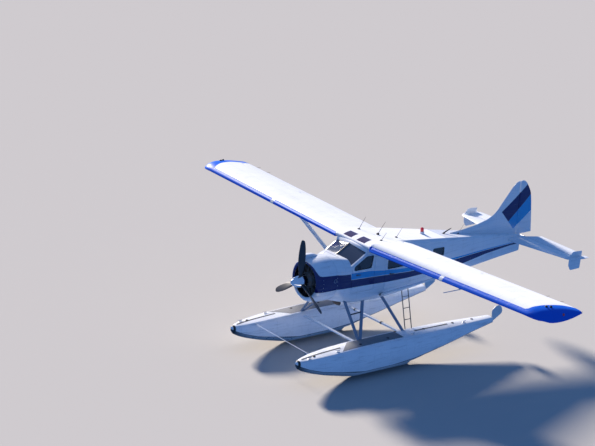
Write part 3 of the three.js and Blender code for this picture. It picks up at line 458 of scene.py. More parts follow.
class Graph:
    """Adds nodes to a tree and wires each one as it is made."""

    def __init__(self, tree):
        self.tree = tree

    def wire(self, socket, value):
        if isinstance(value, bpy.types.NodeSocket):
            self.tree.links.new(value, socket)
        else:
            socket.default_value = value

    def add(self, kind, inputs=None, **settings):
        node = self.tree.nodes.new(kind)
        for name, value in settings.items():
            setattr(node, name, value)
        for key, value in (inputs or {}).items():
            self.wire(node.inputs[key], value)
        return node

    def math(self, operation, *values):
        return self.add("ShaderNodeMath", dict(enumerate(values)), operation=operation).outputs[0]

    def times(self, first, second):
        return self.math("MULTIPLY", first, second)

    def plus(self, first, second):
        return self.math("ADD", first, second)

    def minus(self, first, second):
        return self.math("SUBTRACT", first, second)

    def rest(self, part):
        """What a part leaves of 1."""
        return self.minus(1.0, part)

    def scaled(self, value, scale, shift):
        return self.math("MULTIPLY_ADD", value, scale, shift)

    def span(self, value, low, high, to_low=0.0, to_high=1.0, smooth=False):
        """A value put on another scale and held within it."""
        kind = "SMOOTHSTEP" if smooth else "LINEAR"
        sockets = {0: value, 1: low, 2: high, 3: to_low, 4: to_high}
        return self.add("ShaderNodeMapRange", sockets, interpolation_type=kind).outputs[0]

    def under(self, value, limit, soft=0.002):
        """1 where a value is under a limit, 0 over it, with a narrow soft edge."""
        return self.span(self.minus(limit, value), -soft, soft)

    def mix(self, part, first, second, blend="MIX"):
        node = self.add("ShaderNodeMix", data_type="RGBA", blend_type=blend)
        for index, value in ((0, part), (6, first), (7, second)):
            self.wire(node.inputs[index], value if not isinstance(value, tuple) else (*value[:3], 1))
        return node.outputs[2]

    def noise(self, vector, scale, detail=3.0, rough=0.55):
        sockets = {"Vector": vector, "Scale": scale, "Detail": detail, "Roughness": rough}
        return self.add("ShaderNodeTexNoise", sockets).outputs["Fac"]

    def parts(self, vector):
        return self.add("ShaderNodeSeparateXYZ", {0: vector}).outputs

    def stretched(self, vector, scale):
        return self.add("ShaderNodeMapping", {"Vector": vector, "Scale": scale}).outputs[0]

    def line(self, value, points, low, high):
        """Height of a line that is given as (place, height) points."""
        start, end = points[0][0], points[-1][0]
        node = self.add("ShaderNodeFloatCurve", {"Value": self.span(value, start, end)})
        curve = node.mapping.curves[0]
        for _ in points[2:]:
            curve.points.new(0.5, 0.5)
        for knot, (place, height) in zip(curve.points, points):
            knot.location = ((place - start) / (end - start), (height - low) / (high - low))
            knot.handle_type = "VECTOR"
        node.mapping.update()
        return self.span(node.outputs[0], 0.0, 1.0, low, high)


def group(name, inputs, outputs, kind="ShaderNodeTree"):
    """A node group, its graph, and what comes in and goes out. Columns: socket name, kind, value"""
    tree = bpy.data.node_groups.new(name, kind)
    for label, socket, *value in inputs:
        made = tree.interface.new_socket(label, in_out="INPUT", socket_type="NodeSocket" + socket)
        if value:
            made.default_value = value[0]
    for label, socket in outputs:
        tree.interface.new_socket(label, in_out="OUTPUT", socket_type="NodeSocket" + socket)
    graph = Graph(tree)
    entry = graph.add("NodeGroupInput").outputs
    leave = graph.add("NodeGroupOutput").inputs
    return tree, graph, entry, leave


def geometry_tree(name, *inputs):
    """A geometry tree that takes a shape, inputs of its own and a material."""
    inputs = [("Geometry", "Geometry"), *inputs, ("Material", "Material")]
    return group(name, inputs, [("Geometry", "Geometry")], "GeometryNodeTree")


def put_copies(g, entry, leave, points, source, **placing):
    """Copies of a source on points, made real, as what the tree gives."""
    copies = g.add("GeometryNodeInstanceOnPoints", {"Points": points, "Instance": source, **placing}).outputs[0]
    real = g.add("GeometryNodeRealizeInstances", {0: copies}).outputs[0]
    g.wire(leave[0], g.add("GeometryNodeSetMaterial", {"Geometry": real, "Material": entry["Material"]}).outputs[0])


def make_ring_tree():
    """Copies of a piece about the thrust line."""
    tree, g, entry, leave = geometry_tree("copies about the thrust line", ("Centre", "Vector"), ("Count", "Int", 9),
                                          ("Turn", "Float", 0.0))
    back = g.add("ShaderNodeVectorMath", {0: entry["Centre"], "Scale": -1.0}, operation="SCALE").outputs[0]
    at_home = g.add("GeometryNodeTransform", {"Geometry": entry["Geometry"], "Translation": back}).outputs[0]
    places = g.add("GeometryNodePoints", {"Count": entry["Count"], "Position": entry["Centre"]}).outputs[0]
    step = g.plus(g.add("GeometryNodeInputIndex").outputs[0], entry["Turn"])
    angle = g.math("DIVIDE", g.times(step, tau), entry["Count"])
    put_copies(g, entry, leave, places, at_home, Rotation=g.add("ShaderNodeCombineXYZ", {"Y": angle}).outputs[0])
    return tree


def make_stack_tree():
    """Copies of a piece in a straight row."""
    tree, g, entry, leave = geometry_tree("copies in a straight row", ("Count", "Int", 5), ("Step", "Vector"))
    places = g.add("GeometryNodeMeshLine", {"Count": entry["Count"], "Offset": entry["Step"]}).outputs[0]
    put_copies(g, entry, leave, places, entry["Geometry"])
    return tree


def make_path_tree():
    """Round heads one pitch apart along paths of edges, each a little larger or smaller."""
    tree, g, entry, leave = geometry_tree("heads along a path", ("Pitch", "Float", 0.05), ("Radius", "Float", 0.004),
                                          ("Spread", "Float", 0.08), ("Seed", "Int", 7))
    path = g.add("GeometryNodeMeshToCurve", {"Mesh": entry["Geometry"]}).outputs[0]
    spaced = g.add("GeometryNodeResampleCurve", {"Curve": path, "Length": entry["Pitch"]}, mode="LENGTH").outputs[0]
    head = g.add("GeometryNodeMeshIcoSphere", {"Radius": entry["Radius"], "Subdivisions": 1}).outputs[0]
    range_of_size = {2: g.rest(entry["Spread"]), 3: g.plus(1.0, entry["Spread"]), "Seed": entry["Seed"]}
    size = g.add("FunctionNodeRandomValue", range_of_size, data_type="FLOAT").outputs[1]
    put_copies(g, entry, leave, spaced, head, Scale=size)
    return tree


def make_design_place():
    """Object place turned into the aircraft's own measures, from the spinner tip. Right is 1 on the right side."""
    names = ("Side", "Aft", "Up", "Right")
    tree, g, entry, leave = group("place on the aircraft", [("Vector", "Vector")],
                                  [("Vector", "Vector"), *((name, "Float") for name in names)])
    moved = g.add("ShaderNodeVectorMath", {0: entry[0], 1: tuple(-HOME.translation)}, operation="ADD").outputs[0]
    x, y, z = g.parts(moved)[:3]
    g.wire(leave["Vector"], moved)
    for name, value in zip(names, (g.math("ABSOLUTE", x), y, z, g.math("LESS_THAN", x, 0.0))):
        g.wire(leave[name], value)
    return tree


def make_weathering():
    """Sprayed enamel that has been out on the water: faint colour drift, thin grime, orange peel."""
    tree, g, entry, leave = group(
        "weathered enamel",
        [("Vector", "Vector"), ("Colour", "Color", (0.8, 0.8, 0.8, 1)), ("Grime", "Float", 0.3),
         ("Grime Colour", "Color", (0.16, 0.17, 0.18, 1)), ("Gloss", "Float", 0.2)],
        [("Colour", "Color"), ("Roughness", "Float"), ("Height", "Float")])
    vector = entry["Vector"]
    drift = g.noise(vector, 1.3, 4.0)
    streak = g.noise(g.stretched(vector, (2.5, 0.7, 9.0)), 2.0, 5.0, 0.62)
    grime = g.times(g.span(streak, 0.48, 0.82, smooth=True), entry["Grime"])
    toned = g.mix(g.span(drift, 0.3, 0.75), entry["Colour"], (0.93, 0.94, 0.96), "MULTIPLY")
    g.wire(leave["Colour"], g.mix(grime, toned, entry["Grime Colour"]))
    dulled = g.scaled(grime, 0.35, entry["Gloss"])
    g.wire(leave["Roughness"], g.scaled(g.noise(vector, 7.0), 0.08, dulled))
    g.wire(leave["Height"], g.noise(vector, 160.0, 1.0))
    return tree


def make_seams():
    """Sheet joints and rows of rivets over the first two axes of a vector."""
    tree, g, entry, leave = group(
        "seams and rivets",
        [("Vector", "Vector"), ("Frame Pitch", "Float", 0.5), ("Row Pitch", "Float", 0.3),
         ("Rivet Pitch", "Float", 0.04)],
        [("Height", "Float"), ("Seam", "Float")])
    u, v = g.parts(entry["Vector"])[:2]

    def off_line(value, pitch):
        """Distance to the nearest line of a set that is one pitch apart."""
        return g.math("ABSOLUTE", g.math("PINGPONG", value, g.times(pitch, 0.5)))

    def row(across, pitch, along):
        off = g.minus(off_line(across, pitch), 0.012)
        step = off_line(along, entry["Rivet Pitch"])
        far = g.math("SQRT", g.plus(g.times(off, off), g.times(step, step)))
        return g.span(far, 0.0022, 0.0038, 1.0, 0.0, smooth=True)

    lines = ((u, entry["Frame Pitch"], v), (v, entry["Row Pitch"], u))
    seams = g.math("MAXIMUM", *(g.span(off_line(u, pitch), 0.0006, 0.0018, 1.0, 0.0) for u, pitch, _ in lines))
    rivets = g.math("MAXIMUM", *(row(*line) for line in lines))
    g.wire(leave["Height"], g.minus(g.times(rivets, 0.6), seams))
    g.wire(leave["Seam"], seams)
    return tree


PLACE = make_design_place()
WEATHERING = make_weathering()
SEAMS = make_seams()
RING = make_ring_tree()
STACK = make_stack_tree()
HEADS = make_path_tree()


def grown(source, tree, material, **values):
    """Runs a geometry tree on an object or a form, and keeps what comes out as plain mesh."""
    obj = shown("copies", mesh_of("copies", source)) if isinstance(source, Form) else source
    step = obj.modifiers.new("copies", "NODES")
    step.node_group = tree
    values["Material"] = material
    for item in tree.interface.items_tree:
        if item.in_out == "INPUT" and item.name in values:
            step[item.identifier] = values[item.name]
    return baked(obj)


def ring(name, source, material, count=CYLINDERS, turn=0.0, **settings):
    """Copies of a form about the thrust line, as one piece."""
    obj = grown(source, RING, material, Centre=tuple(HOME.translation), Count=count, Turn=turn)
    obj.name = name
    return dressed(obj, material, "airframe", "engine_metal", **settings)


def heads(name, paths, slot, pitch, radius):
    """Rivet heads along paths on the skin, on both sides."""
    paths = [[Vector(point) for point in path] for path in paths]
    paths += [[MIRROR @ point for point in path] for path in paths]
    corners, edges = [], []
    for path in paths:
        edges += [(len(corners) + i, len(corners) + i + 1) for i in range(len(path) - 1)]
        corners += [HOME @ point for point in path]
    mesh = bpy.data.meshes.new(name)
    mesh.from_pydata(corners, edges, [])
    obj = grown(shown(name, mesh), HEADS, SMOOTH_WHITE, Pitch=pitch, Radius=radius, Seed=len(corners))
    return dressed(obj, SMOOTH_WHITE, "airframe", slot, crease=60)


def surface(name, base=(0.8, 0.8, 0.8), roughness=0.5, metallic=0.0, **sockets):
    """A material with its main shader, and the graph that feeds it."""
    material = bpy.data.materials.new(name)
    material.use_nodes = True
    graph = Graph(material.node_tree)
    shader = material.node_tree.nodes["Principled BSDF"]
    values = {"Base Color": (*base[:3], 1), "Roughness": roughness, "Metallic": metallic, **sockets}
    for label, value in values.items():
        shader.inputs[label].default_value = value
    where = graph.add("ShaderNodeTexCoord").outputs["Object"]
    return material, graph, shader, where


def bump(graph, shader, height, strength, distance=0.002, after=None):
    sockets = {"Height": height, "Strength": strength, "Distance": distance}
    if after is not None:
        sockets["Normal"] = after
    normal = graph.add("ShaderNodeBump", sockets).outputs[0]
    graph.wire(shader.inputs["Normal"], normal)
    return normal


def enamel(name, paint, grime=0.25, gloss=0.16, axes=None, pitches=(0.5, 0.3), coat=0.4, shine=0.5):
    """Painted sheet metal. Paint is a colour, or a function from the graph and the place to a colour."""
    fixed = {"Coat Weight": coat, "Coat Roughness": 0.06, "Specular IOR Level": shine}
    material, g, shader, where = surface(name, roughness=gloss, **fixed)
    place = g.add("ShaderNodeGroup", {0: where}, node_tree=PLACE).outputs
    colour = paint(g, place) if callable(paint) else (*paint, 1)
    sockets = {"Vector": place["Vector"], "Colour": colour, "Grime": grime, "Gloss": gloss}
    finish = g.add("ShaderNodeGroup", sockets, node_tree=WEATHERING).outputs
    colour = finish["Colour"]
    g.wire(shader.inputs["Roughness"], finish["Roughness"])
    normal = bump(g, shader, finish["Height"], 0.05, 0.0004)
    if axes:
        plane = g.add("ShaderNodeCombineXYZ", {0: place[axes[0]], 1: place[axes[1]]}).outputs[0]
        sockets = {"Vector": plane, "Frame Pitch": pitches[0], "Row Pitch": pitches[1]}
        seams = g.add("ShaderNodeGroup", sockets, node_tree=SEAMS).outputs
        bump(g, shader, seams["Height"], 0.6, 0.0012, normal)
        colour = g.mix(g.times(seams["Seam"], 0.45), colour, (0.03, 0.035, 0.04))
    g.wire(shader.inputs["Base Color"], colour)
    return material


# Lines of the fuselage stripes. Columns: y, z
NAVY_TOP = (
    (0.44, 0.6), (0.476, 0.6), (0.482, 0.5), (0.502, 0.39), (0.535, 0.31), (0.57, 0.275), (0.64, 0.26),
    (0.93, 0.247), (1.22, 0.232), (1.582, 0.218), (1.592, 0.046), (2.25, 0.028), (3.3, -0.012), (3.86, -0.035),
    (5.65, -0.03), (6.3, -0.008), (7.03, 0.012), (8.16, 0.015), (8.7, 0.015),
)
NAVY_BOTTOM = (
    (0.44, -0.2), (1.1, -0.18), (1.65, -0.177), (2.28, -0.187), (2.9, -0.207), (3.7, -0.203), (5.2, -0.225),
    (6.09, -0.209), (7.04, -0.1), (8.16, -0.037), (8.7, -0.04),
)
SKY_TOP = (
    (1.56, 0.24), (2.23, 0.219), (2.7, 0.162), (3.3, 0.118), (3.85, 0.086), (4.6, 0.06), (5.65, 0.034),
    (6.3, 0.045), (7.03, 0.052), (8.16, 0.044), (8.7, 0.04),
)
# Front end of the light blue, and height of the white line under it
SKY_START, WHITE_LINE = 1.592, 0.013


def fuselage_paint(g, place):
    """White, with a light blue band, a white line and a navy band one under the other."""
    y, z = place["Aft"], place["Up"]
    navy_top, navy_bottom, sky_top = (g.line(y, line, -0.3, 0.7) for line in (NAVY_TOP, NAVY_BOTTOM, SKY_TOP))
    navy = g.times(g.under(z, navy_top), g.rest(g.under(z, navy_bottom)))
    above_line = g.rest(g.under(z, g.plus(navy_top, WHITE_LINE)))
    sky = g.times(g.times(above_line, g.under(z, sky_top)), g.rest(g.under(y, SKY_START)))
    return g.mix(navy, g.mix(sky, WHITE, SKY), NAVY)


# Rear edge of the blue band, and how much further in the tip's blue starts on the right
BAND_REAR, RIGHT_REACH = 2.148, 0.12
# Where the blue of a wing tip starts. Columns: y, x
TIP_BLUE = ((2.07, 6.5), (2.14, 6.72), (2.2, 6.8), (2.44, 6.87), (2.83, 6.93), (3.3, 6.95), (3.68, 7.03))


def wing_paint(g, place):
    """White, with royal blue round the leading edge and over the tip."""
    x, y = place["Side"], place["Aft"]
    front = g.times(g.under(y, BAND_REAR), g.rest(g.under(x, CUFF_X)))
    spread = g.plus(x, g.times(place["Right"], RIGHT_REACH))
    tip = g.rest(g.under(spread, g.line(y, TIP_BLUE, 6.0, 7.5)))
    from_lamp = g.math("ABSOLUTE", g.minus(x, sum(LAMP_X) / 2))
    lamp = g.math("LESS_THAN", from_lamp, LAMP_CLEAR)
    return g.mix(g.times(g.math("MAXIMUM", front, tip), g.rest(lamp)), WHITE, ROYAL)


def fin_paint(g, place):
    """White, with a navy and a mid blue band that rise aft."""
    y, z = place["Aft"], place["Up"]

    def over(start, end):
        """1 above the line through two (y, z) points."""
        slope = (end[1] - start[1]) / (end[0] - start[0])
        return g.rest(g.under(z, g.scaled(g.minus(y, start[0]), slope, start[1])))

    low, middle, high, aft = (over(*ends) for ends in (
        ((8.32, 0.43), (9.01, 0.9)), ((8.15, 0.74), (8.93, 1.4)),
        ((7.79, 1.01), (8.76, 1.74)), ((7.79, 1.01), (8.32, 0.43))))
    blue, navy = (g.times(g.minus(under, above), aft) for under, above in ((low, middle), (middle, high)))
    return g.mix(navy, g.mix(blue, WHITE, MID_BLUE), NAVY)


CHINE_LINE = tuple((row[0], row[3]) for row in FLOAT_FRONT[:-1] + FLOAT_REAR[1:])


def toned(colour, share):
    """A colour made lighter or darker."""
    return tuple(share * c for c in colour)


def float_paint(g, place):
    """White float, painted near-black under the chine as painted shade of the hull bottom, scuffed and stained where it
    rides in the water.
    """
    z = place["Up"]
    # bottom: the hull under the chine, turned near-black below as painted shade
    bottom = g.under(z, g.plus(g.line(place["Aft"], CHINE_LINE, -2.3, -1.6), 0.012))
    worn = g.scaled(g.noise(place["Vector"], 9.0, 4.0), 0.03, z)
    stain = g.times(g.span(worn, -2.1, -1.75, 1.0, 0.0), 0.35)
    return g.mix(bottom, g.mix(stain, WHITE, (0.42, 0.45, 0.47)), (0.022, 0.025, 0.032))


def metal(name, base, roughness, scratch=0.35, metallic=1.0, grain=60.0):
    """Bare metal with fine scratches and a little dullness in places."""
    material, g, shader, where = surface(name, base, roughness, metallic)
    along = g.noise(g.stretched(where, (1.0, 0.12, 1.0)), grain, 4.0)
    patch = g.noise(where, 5.0, 3.0)
    g.wire(shader.inputs["Roughness"], g.scaled(g.times(along, patch), scratch, roughness))
    g.wire(shader.inputs["Base Color"], g.mix(g.span(patch, 0.35, 0.8), base, toned(base, 0.8)))
    bump(g, shader, along, 0.04, 0.0005)
    return material


def moulded(name, base, roughness=0.6, grain=350.0, strength=0.15):
    """Plastic, rubber or rough coating with a pebbled surface."""
    material, g, shader, where = surface(name, base, roughness)
    g.wire(shader.inputs["Base Color"], g.mix(g.noise(where, 12.0), base, toned(base, 1.3)))
    bump(g, shader, g.noise(where, grain, 2.0), strength, 0.001)
    return material


def woven(name, base):
    """Upholstery cloth: crossed threads, a little sheen and slight fading."""
    material, g, shader, where = surface(name, base, 0.85, **{"Sheen Weight": 0.3})
    x, y, z = g.parts(where)[:3]
    warp, weft = (g.math("SINE", g.times(line, 2600.0)) for line in (g.plus(x, g.times(z, 0.3)), g.plus(y, z)))
    threads = g.scaled(g.times(warp, weft), 0.5, 0.5)
    faded = g.mix(g.noise(where, 6.0), base, toned(base, 1.5))
    g.wire(shader.inputs["Base Color"], g.mix(g.times(threads, 0.35), faded, toned(base, 0.5)))
    bump(g, shader, threads, 0.3, 0.0008)
    return material


def glass(name, tint, see_through, roughness=0.02, sheen_rough=0.02):
    """Glazing: dark from outside, with a clear sheen and a faint unevenness."""
    fixed = {"Transmission Weight": see_through, "IOR": 1.49, "Coat Weight": 1.0, "Coat Roughness": sheen_rough}
    material, g, shader, where = surface(name, tint, roughness, **fixed)
    g.wire(shader.inputs["Roughness"], g.span(g.noise(where, 3.0), 0.3, 0.8, roughness, roughness + 0.05))
    bump(g, shader, g.noise(where, 2.2, 1.0), 0.01, 0.004)
    return material


def lens(name, colour):
    """Coloured lamp glass with fine ribs."""
    material, g, shader, where = surface(name, colour, 0.08, **{"Transmission Weight": 0.3, "Coat Weight": 1.0})
    ribs = g.add("ShaderNodeTexWave", {"Vector": where, "Scale": 60.0}).outputs["Fac"]
    g.wire(shader.inputs["Base Color"], g.mix(ribs, colour, tuple(min(1, 1.25 * c + 0.02) for c in colour)))
    bump(g, shader, ribs, 0.2, 0.001)
    return material


FUSELAGE = enamel("fuselage enamel", fuselage_paint, 0.3, 0.15, ("Aft", "Up"), (0.46, 0.31))
WING = enamel("wing enamel", wing_paint, 0.12, 0.34, ("Side", "Aft"), (0.41, 0.53), coat=0.0, shine=0.1)
FIN_SKIN = enamel("fin enamel", fin_paint, 0.2, 0.18, ("Aft", "Up"), (0.33, 0.27))
PLAIN = enamel("white enamel", WHITE, 0.25, 0.2, ("Side", "Aft"), (0.37, 0.35))
SMOOTH_WHITE = enamel("smooth white enamel", WHITE, 0.2, 0.15)
FLOAT = enamel("float enamel", float_paint, 0.5, 0.24, ("Aft", "Up"), (0.57, 0.9))
STRUT = enamel("strut enamel", (0.2, 0.25, 0.33), 0.3, 0.14)
BARE = metal("bare aluminium", (0.72, 0.73, 0.74), 0.28)
CHROME = metal("polished spinner", (0.86, 0.87, 0.89), 0.05, 0.08)
BLADE = metal("propeller blade", (0.07, 0.072, 0.078), 0.45, 0.3, 0.6)
CASTING = metal("engine casting", (0.2, 0.19, 0.18), 0.42, 0.4, 0.8, 90.0)
CYLINDER = metal("cylinder barrel", (0.16, 0.12, 0.09), 0.4, 0.4, 0.85, 90.0)
COPPERY = metal("exhaust steel", (0.2, 0.15, 0.11), 0.38, 0.4, 0.9)
INSIDE = moulded("cowl lining", (0.02, 0.02, 0.022), 0.6)
RUBBER = moulded("black rubber", (0.012, 0.012, 0.013), 0.55)
GRIP = moulded("deck grip", (0.05, 0.055, 0.06), 0.85, 900.0, 0.6)
# Mid grey tread paint whose darkness is partly painted shade: it stands in for the fuselage's shadow on the port deck
TREAD_AND_SHADE = moulded("deck tread paint", (0.17, 0.175, 0.185), 0.85, 900.0, 0.6)
PLASTIC = moulded("cabin plastic", (0.11, 0.115, 0.125), 0.62)
FABRIC = woven("seat cloth", (0.05, 0.075, 0.13))
PANEL_BLACK = moulded("panel black", (0.02, 0.021, 0.024), 0.5)
PANE = glass("windshield glass", (0.045, 0.05, 0.07), 0.1, 0.08, 0.1)
WINDOW = glass("window glass", (0.02, 0.024, 0.03), 0.45)
SKY_PANE = glass("skylight glass", (0.1, 0.06, 0.11), 0.3)
RED = lens("red lens", (0.75, 0.02, 0.02))
GREEN = lens("green lens", (0.02, 0.45, 0.15))
CLEAR = lens("lamp lens", (0.85, 0.86, 0.88))


# Wing, flaps and ailerons

PARTS = [(1 - cos(pi * i / 26)) / 2 for i in range(27)]


def skin(part, upper):
    half = 0.2969 * sqrt(part) - 0.126 * part - 0.3516 * part ** 2 + 0.2843 * part ** 3 - 0.1015 * part ** 4
    return 4 * CAMBER * part * (1 - part) + 5 * THICKNESS * half * (1 if upper else -1)


def chord_z(x, y):
    return WING_Z + abs(x) * tan(DIHEDRAL) - (y - WING_Y) * INCIDENCE


def wing_row(x, front=0, rear=CHORD, above=1, below=1, droop=0, cuff=0, spread=None):
    def point(part, upper):
        nose = cuff * max(0, 1 - part / CUFF_SHARE) ** 2
        y = WING_Y + front + part * (rear - front)
        sag = droop * (DROOP[0] + DROOP[1] * part + DROOP[2] * part ** 2) + CUFF_DROP * nose
        height = skin(part, upper) * CHORD * (above if upper else below)
        return (x if spread is None else spread, y - CUFF_REACH * nose, chord_z(x, y) + height - sag)
    return [point(part, True) for part in reversed(PARTS)] + [point(part, False) for part in PARTS[1:]]


def wing_top(x, y):
    part = min(max((y - WING_Y) / CHORD, 0), 1)
    return chord_z(max(abs(x), ROOT_X), y) + skin(part, True) * CHORD


HINGE_Y = WING_Y + HINGE_PART * CHORD
HINGE_RISE = (skin(HINGE_PART, True) + skin(HINGE_PART, False)) / 2 * CHORD
HINGE_NOSE = (skin(HINGE_PART, True) - skin(HINGE_PART, False)) / 2 * CHORD


def surface_form(bay):
    """Flap or aileron: a round nose about its hinge line, then the wing's own profile to its rear edge."""
    tail = (1, 0.97, 0.93, 0.88, 0.83, 0.79)

    def hinge(x):
        return (x, HINGE_Y, chord_z(x, HINGE_Y) + HINGE_RISE)

    def row(x):
        def on(part, upper):
            y = WING_Y + part * CHORD
            return (x, y, chord_z(x, y) + skin(part, upper) * CHORD)
        nose = [(x, HINGE_Y + u, hinge(x)[2] + v) for u, v in arc(HINGE_NOSE, 96, 264, 12)]
        return [on(part, True) for part in tail] + nose + [on(part, False) for part in reversed(tail)]
    body = loft([row(bay[0] + SURFACE_GAP), row(bay[1] - SURFACE_GAP)])
    return body + tube([hinge(bay[0] + 0.001), hinge(bay[1] - 0.001)], 0.012)


def make_wings():
    bays = [block((start, HINGE_Y - HINGE_NOSE - SURFACE_GAP, 0.5), (end, 3.8, 1.6))
            for start, end in (FLAP_BAY, AILERON_BAY)]
    root = [wing_row(ROOT_X), wing_row(CUFF_X), wing_row(CUFF_X + 0.03, cuff=1)]
    wing = loft(root + [wing_row(*row) for row in eased(WING_TIP, 4)])
    sides("wing_*_skin", wing, WING, "wing_paint", replaces=("wing_*",), holes=bays, crease=32)
    for name, bay in (("flap_*", FLAP_BAY), ("aileron_*", AILERON_BAY)):
        sides(f"{name}_skin", surface_form(bay), WING, "wing_paint", name, (name,), crease=32)

    x0, x1, y0, y1 = SKYLIGHT
    hole = block((x0, y0, 0.6), (x1, y1, 1.3))
    centre = loft([wing_row(ROOT_X, spread=x) for x in (SLIT - ROOT_X, ROOT_X - SLIT)])
    piece("centre_wing", centre, WING, "white_paint", holes=[hole, hole.put(MIRROR)], crease=32)
    rows = []
    for step in range(9):
        y = y0 + SLIT + (y1 - y0 - 2 * SLIT) * step / 8
        z = wing_top(0, y) - HAIR
        rows.append([(x0 + SLIT, y, z), (x1 - SLIT, y, z), (x1 - SLIT, y, z - 0.012), (x0 + SLIT, y, z - 0.012)])
    sides("skylight_*_pane", loft(rows), SKY_PANE, "window_glass", replaces=("skylight_*",))


# Fuselage, doors and windows

def hull_row(y, half, top, bottom, top_radius, bottom_radius):
    """Ring of the fuselage at one y, from its four corners."""
    row = []
    for across, up, start, radius, edge in (
            (1, 1, 0, top_radius, top), (-1, 1, 90, top_radius, top),
            (-1, -1, 180, bottom_radius, bottom), (1, -1, 270, bottom_radius, bottom)):
        x, z = across * (half - radius), edge - up * radius
        row += [(x + u, y, z + v) for u, v in arc(radius, start, start + 90, 8)]
    return row


def cabin_half(y):
    return between(CABIN, y)[1]


def pane_point(x, z, proud=0.0):
    normal = Vector((copysign(PANE_SWEEP, x) if x else 0, -1, PANE_RAKE)).normalized()
    return Vector((x, PANE_Y + PANE_SWEEP * abs(x) + PANE_RAKE * (z - PANE_Z), z)) + normal * proud


def make_fuselage():
    for name, table, slot, node in (("nose_skin", NOSE, "nose_paint", "nose_section"),
                                    ("tail_cone_skin", TAIL_CONE, "fuselage_paint", "tail_cone")):
        piece(name, loft([hull_row(*row) for row in eased(table, 5)]), FUSELAGE, slot, replaces=(node,), crease=40)
    refined("cabin_roof", WING, "white_paint", 0.002)
    refined("cabin_floor", FUSELAGE, "fuselage_paint", 0.002)
    for side, _ in SIDES:
        for node in ("cabin_wall", "cockpit_door", "cabin_door"):
            refined(f"{node}_{side}", FUSELAGE, "fuselage_paint", 0.003)
        for node in ("cockpit_door_glass", "cabin_door_glass", "rear_window"):
            refined(f"{node}_{side}", WINDOW, "window_glass", 0.002)
    refined("windshield", PANE, "window_glass", 0.0)

    for name, outline, radius, body in (("cockpit_window_seal_*", COCKPIT_WINDOW, 0.05, "cockpit_door_*"),
                                        ("cabin_window_seal_*", CABIN_WINDOW, 0.05, "cabin_door_*"),
                                        ("rear_window_seal_*", REAR_WINDOW, 0.04, "airframe")):
        path = [(cabin_half(y) + 0.001, y, z) for y, z in rounded(outline, radius)]
        sides(name, sweep(path, circle(0.009, 8, 0.6), loop=True), RUBBER, "cabin_plastic", body)
    post = sweep([pane_point(0, z, 0.002) for z in (0.6, 0.878)], circle(0.016, 8, 0.5), up=(0, -1, 1.6))
    piece("windshield_post", post, RUBBER, "cabin_plastic")
    rim = [(0.6355, 1.05 + u, 0.09 + v) for u, v in circle(0.05, 32)]
    sides("side_vent_*", tube(rim, 0.008, 10, loop=True), STRUT, "nose_paint", crease=60)


# Engine, cowling and propeller

def about(form, count):
    """Copies of a form about the thrust line."""
    return [form.put(Matrix.Rotation(tau * i / count, 4, "Y")) for i in range(count)]


def fins(root, tip, height, count, step):
    """Cooling fins of the upright cylinder, one over the other."""
    fin = turned([(root, -0.0028), (tip, -0.0014), (tip, 0.0014), (root, 0.0028)], 24)
    place = Matrix.Translation((0, ENGINE_Y, height)) @ Matrix.Rotation(pi / 2, 4, "X")
    return grown(fin.put(place), STACK, CYLINDER, Count=count, Step=(0, 0, step))


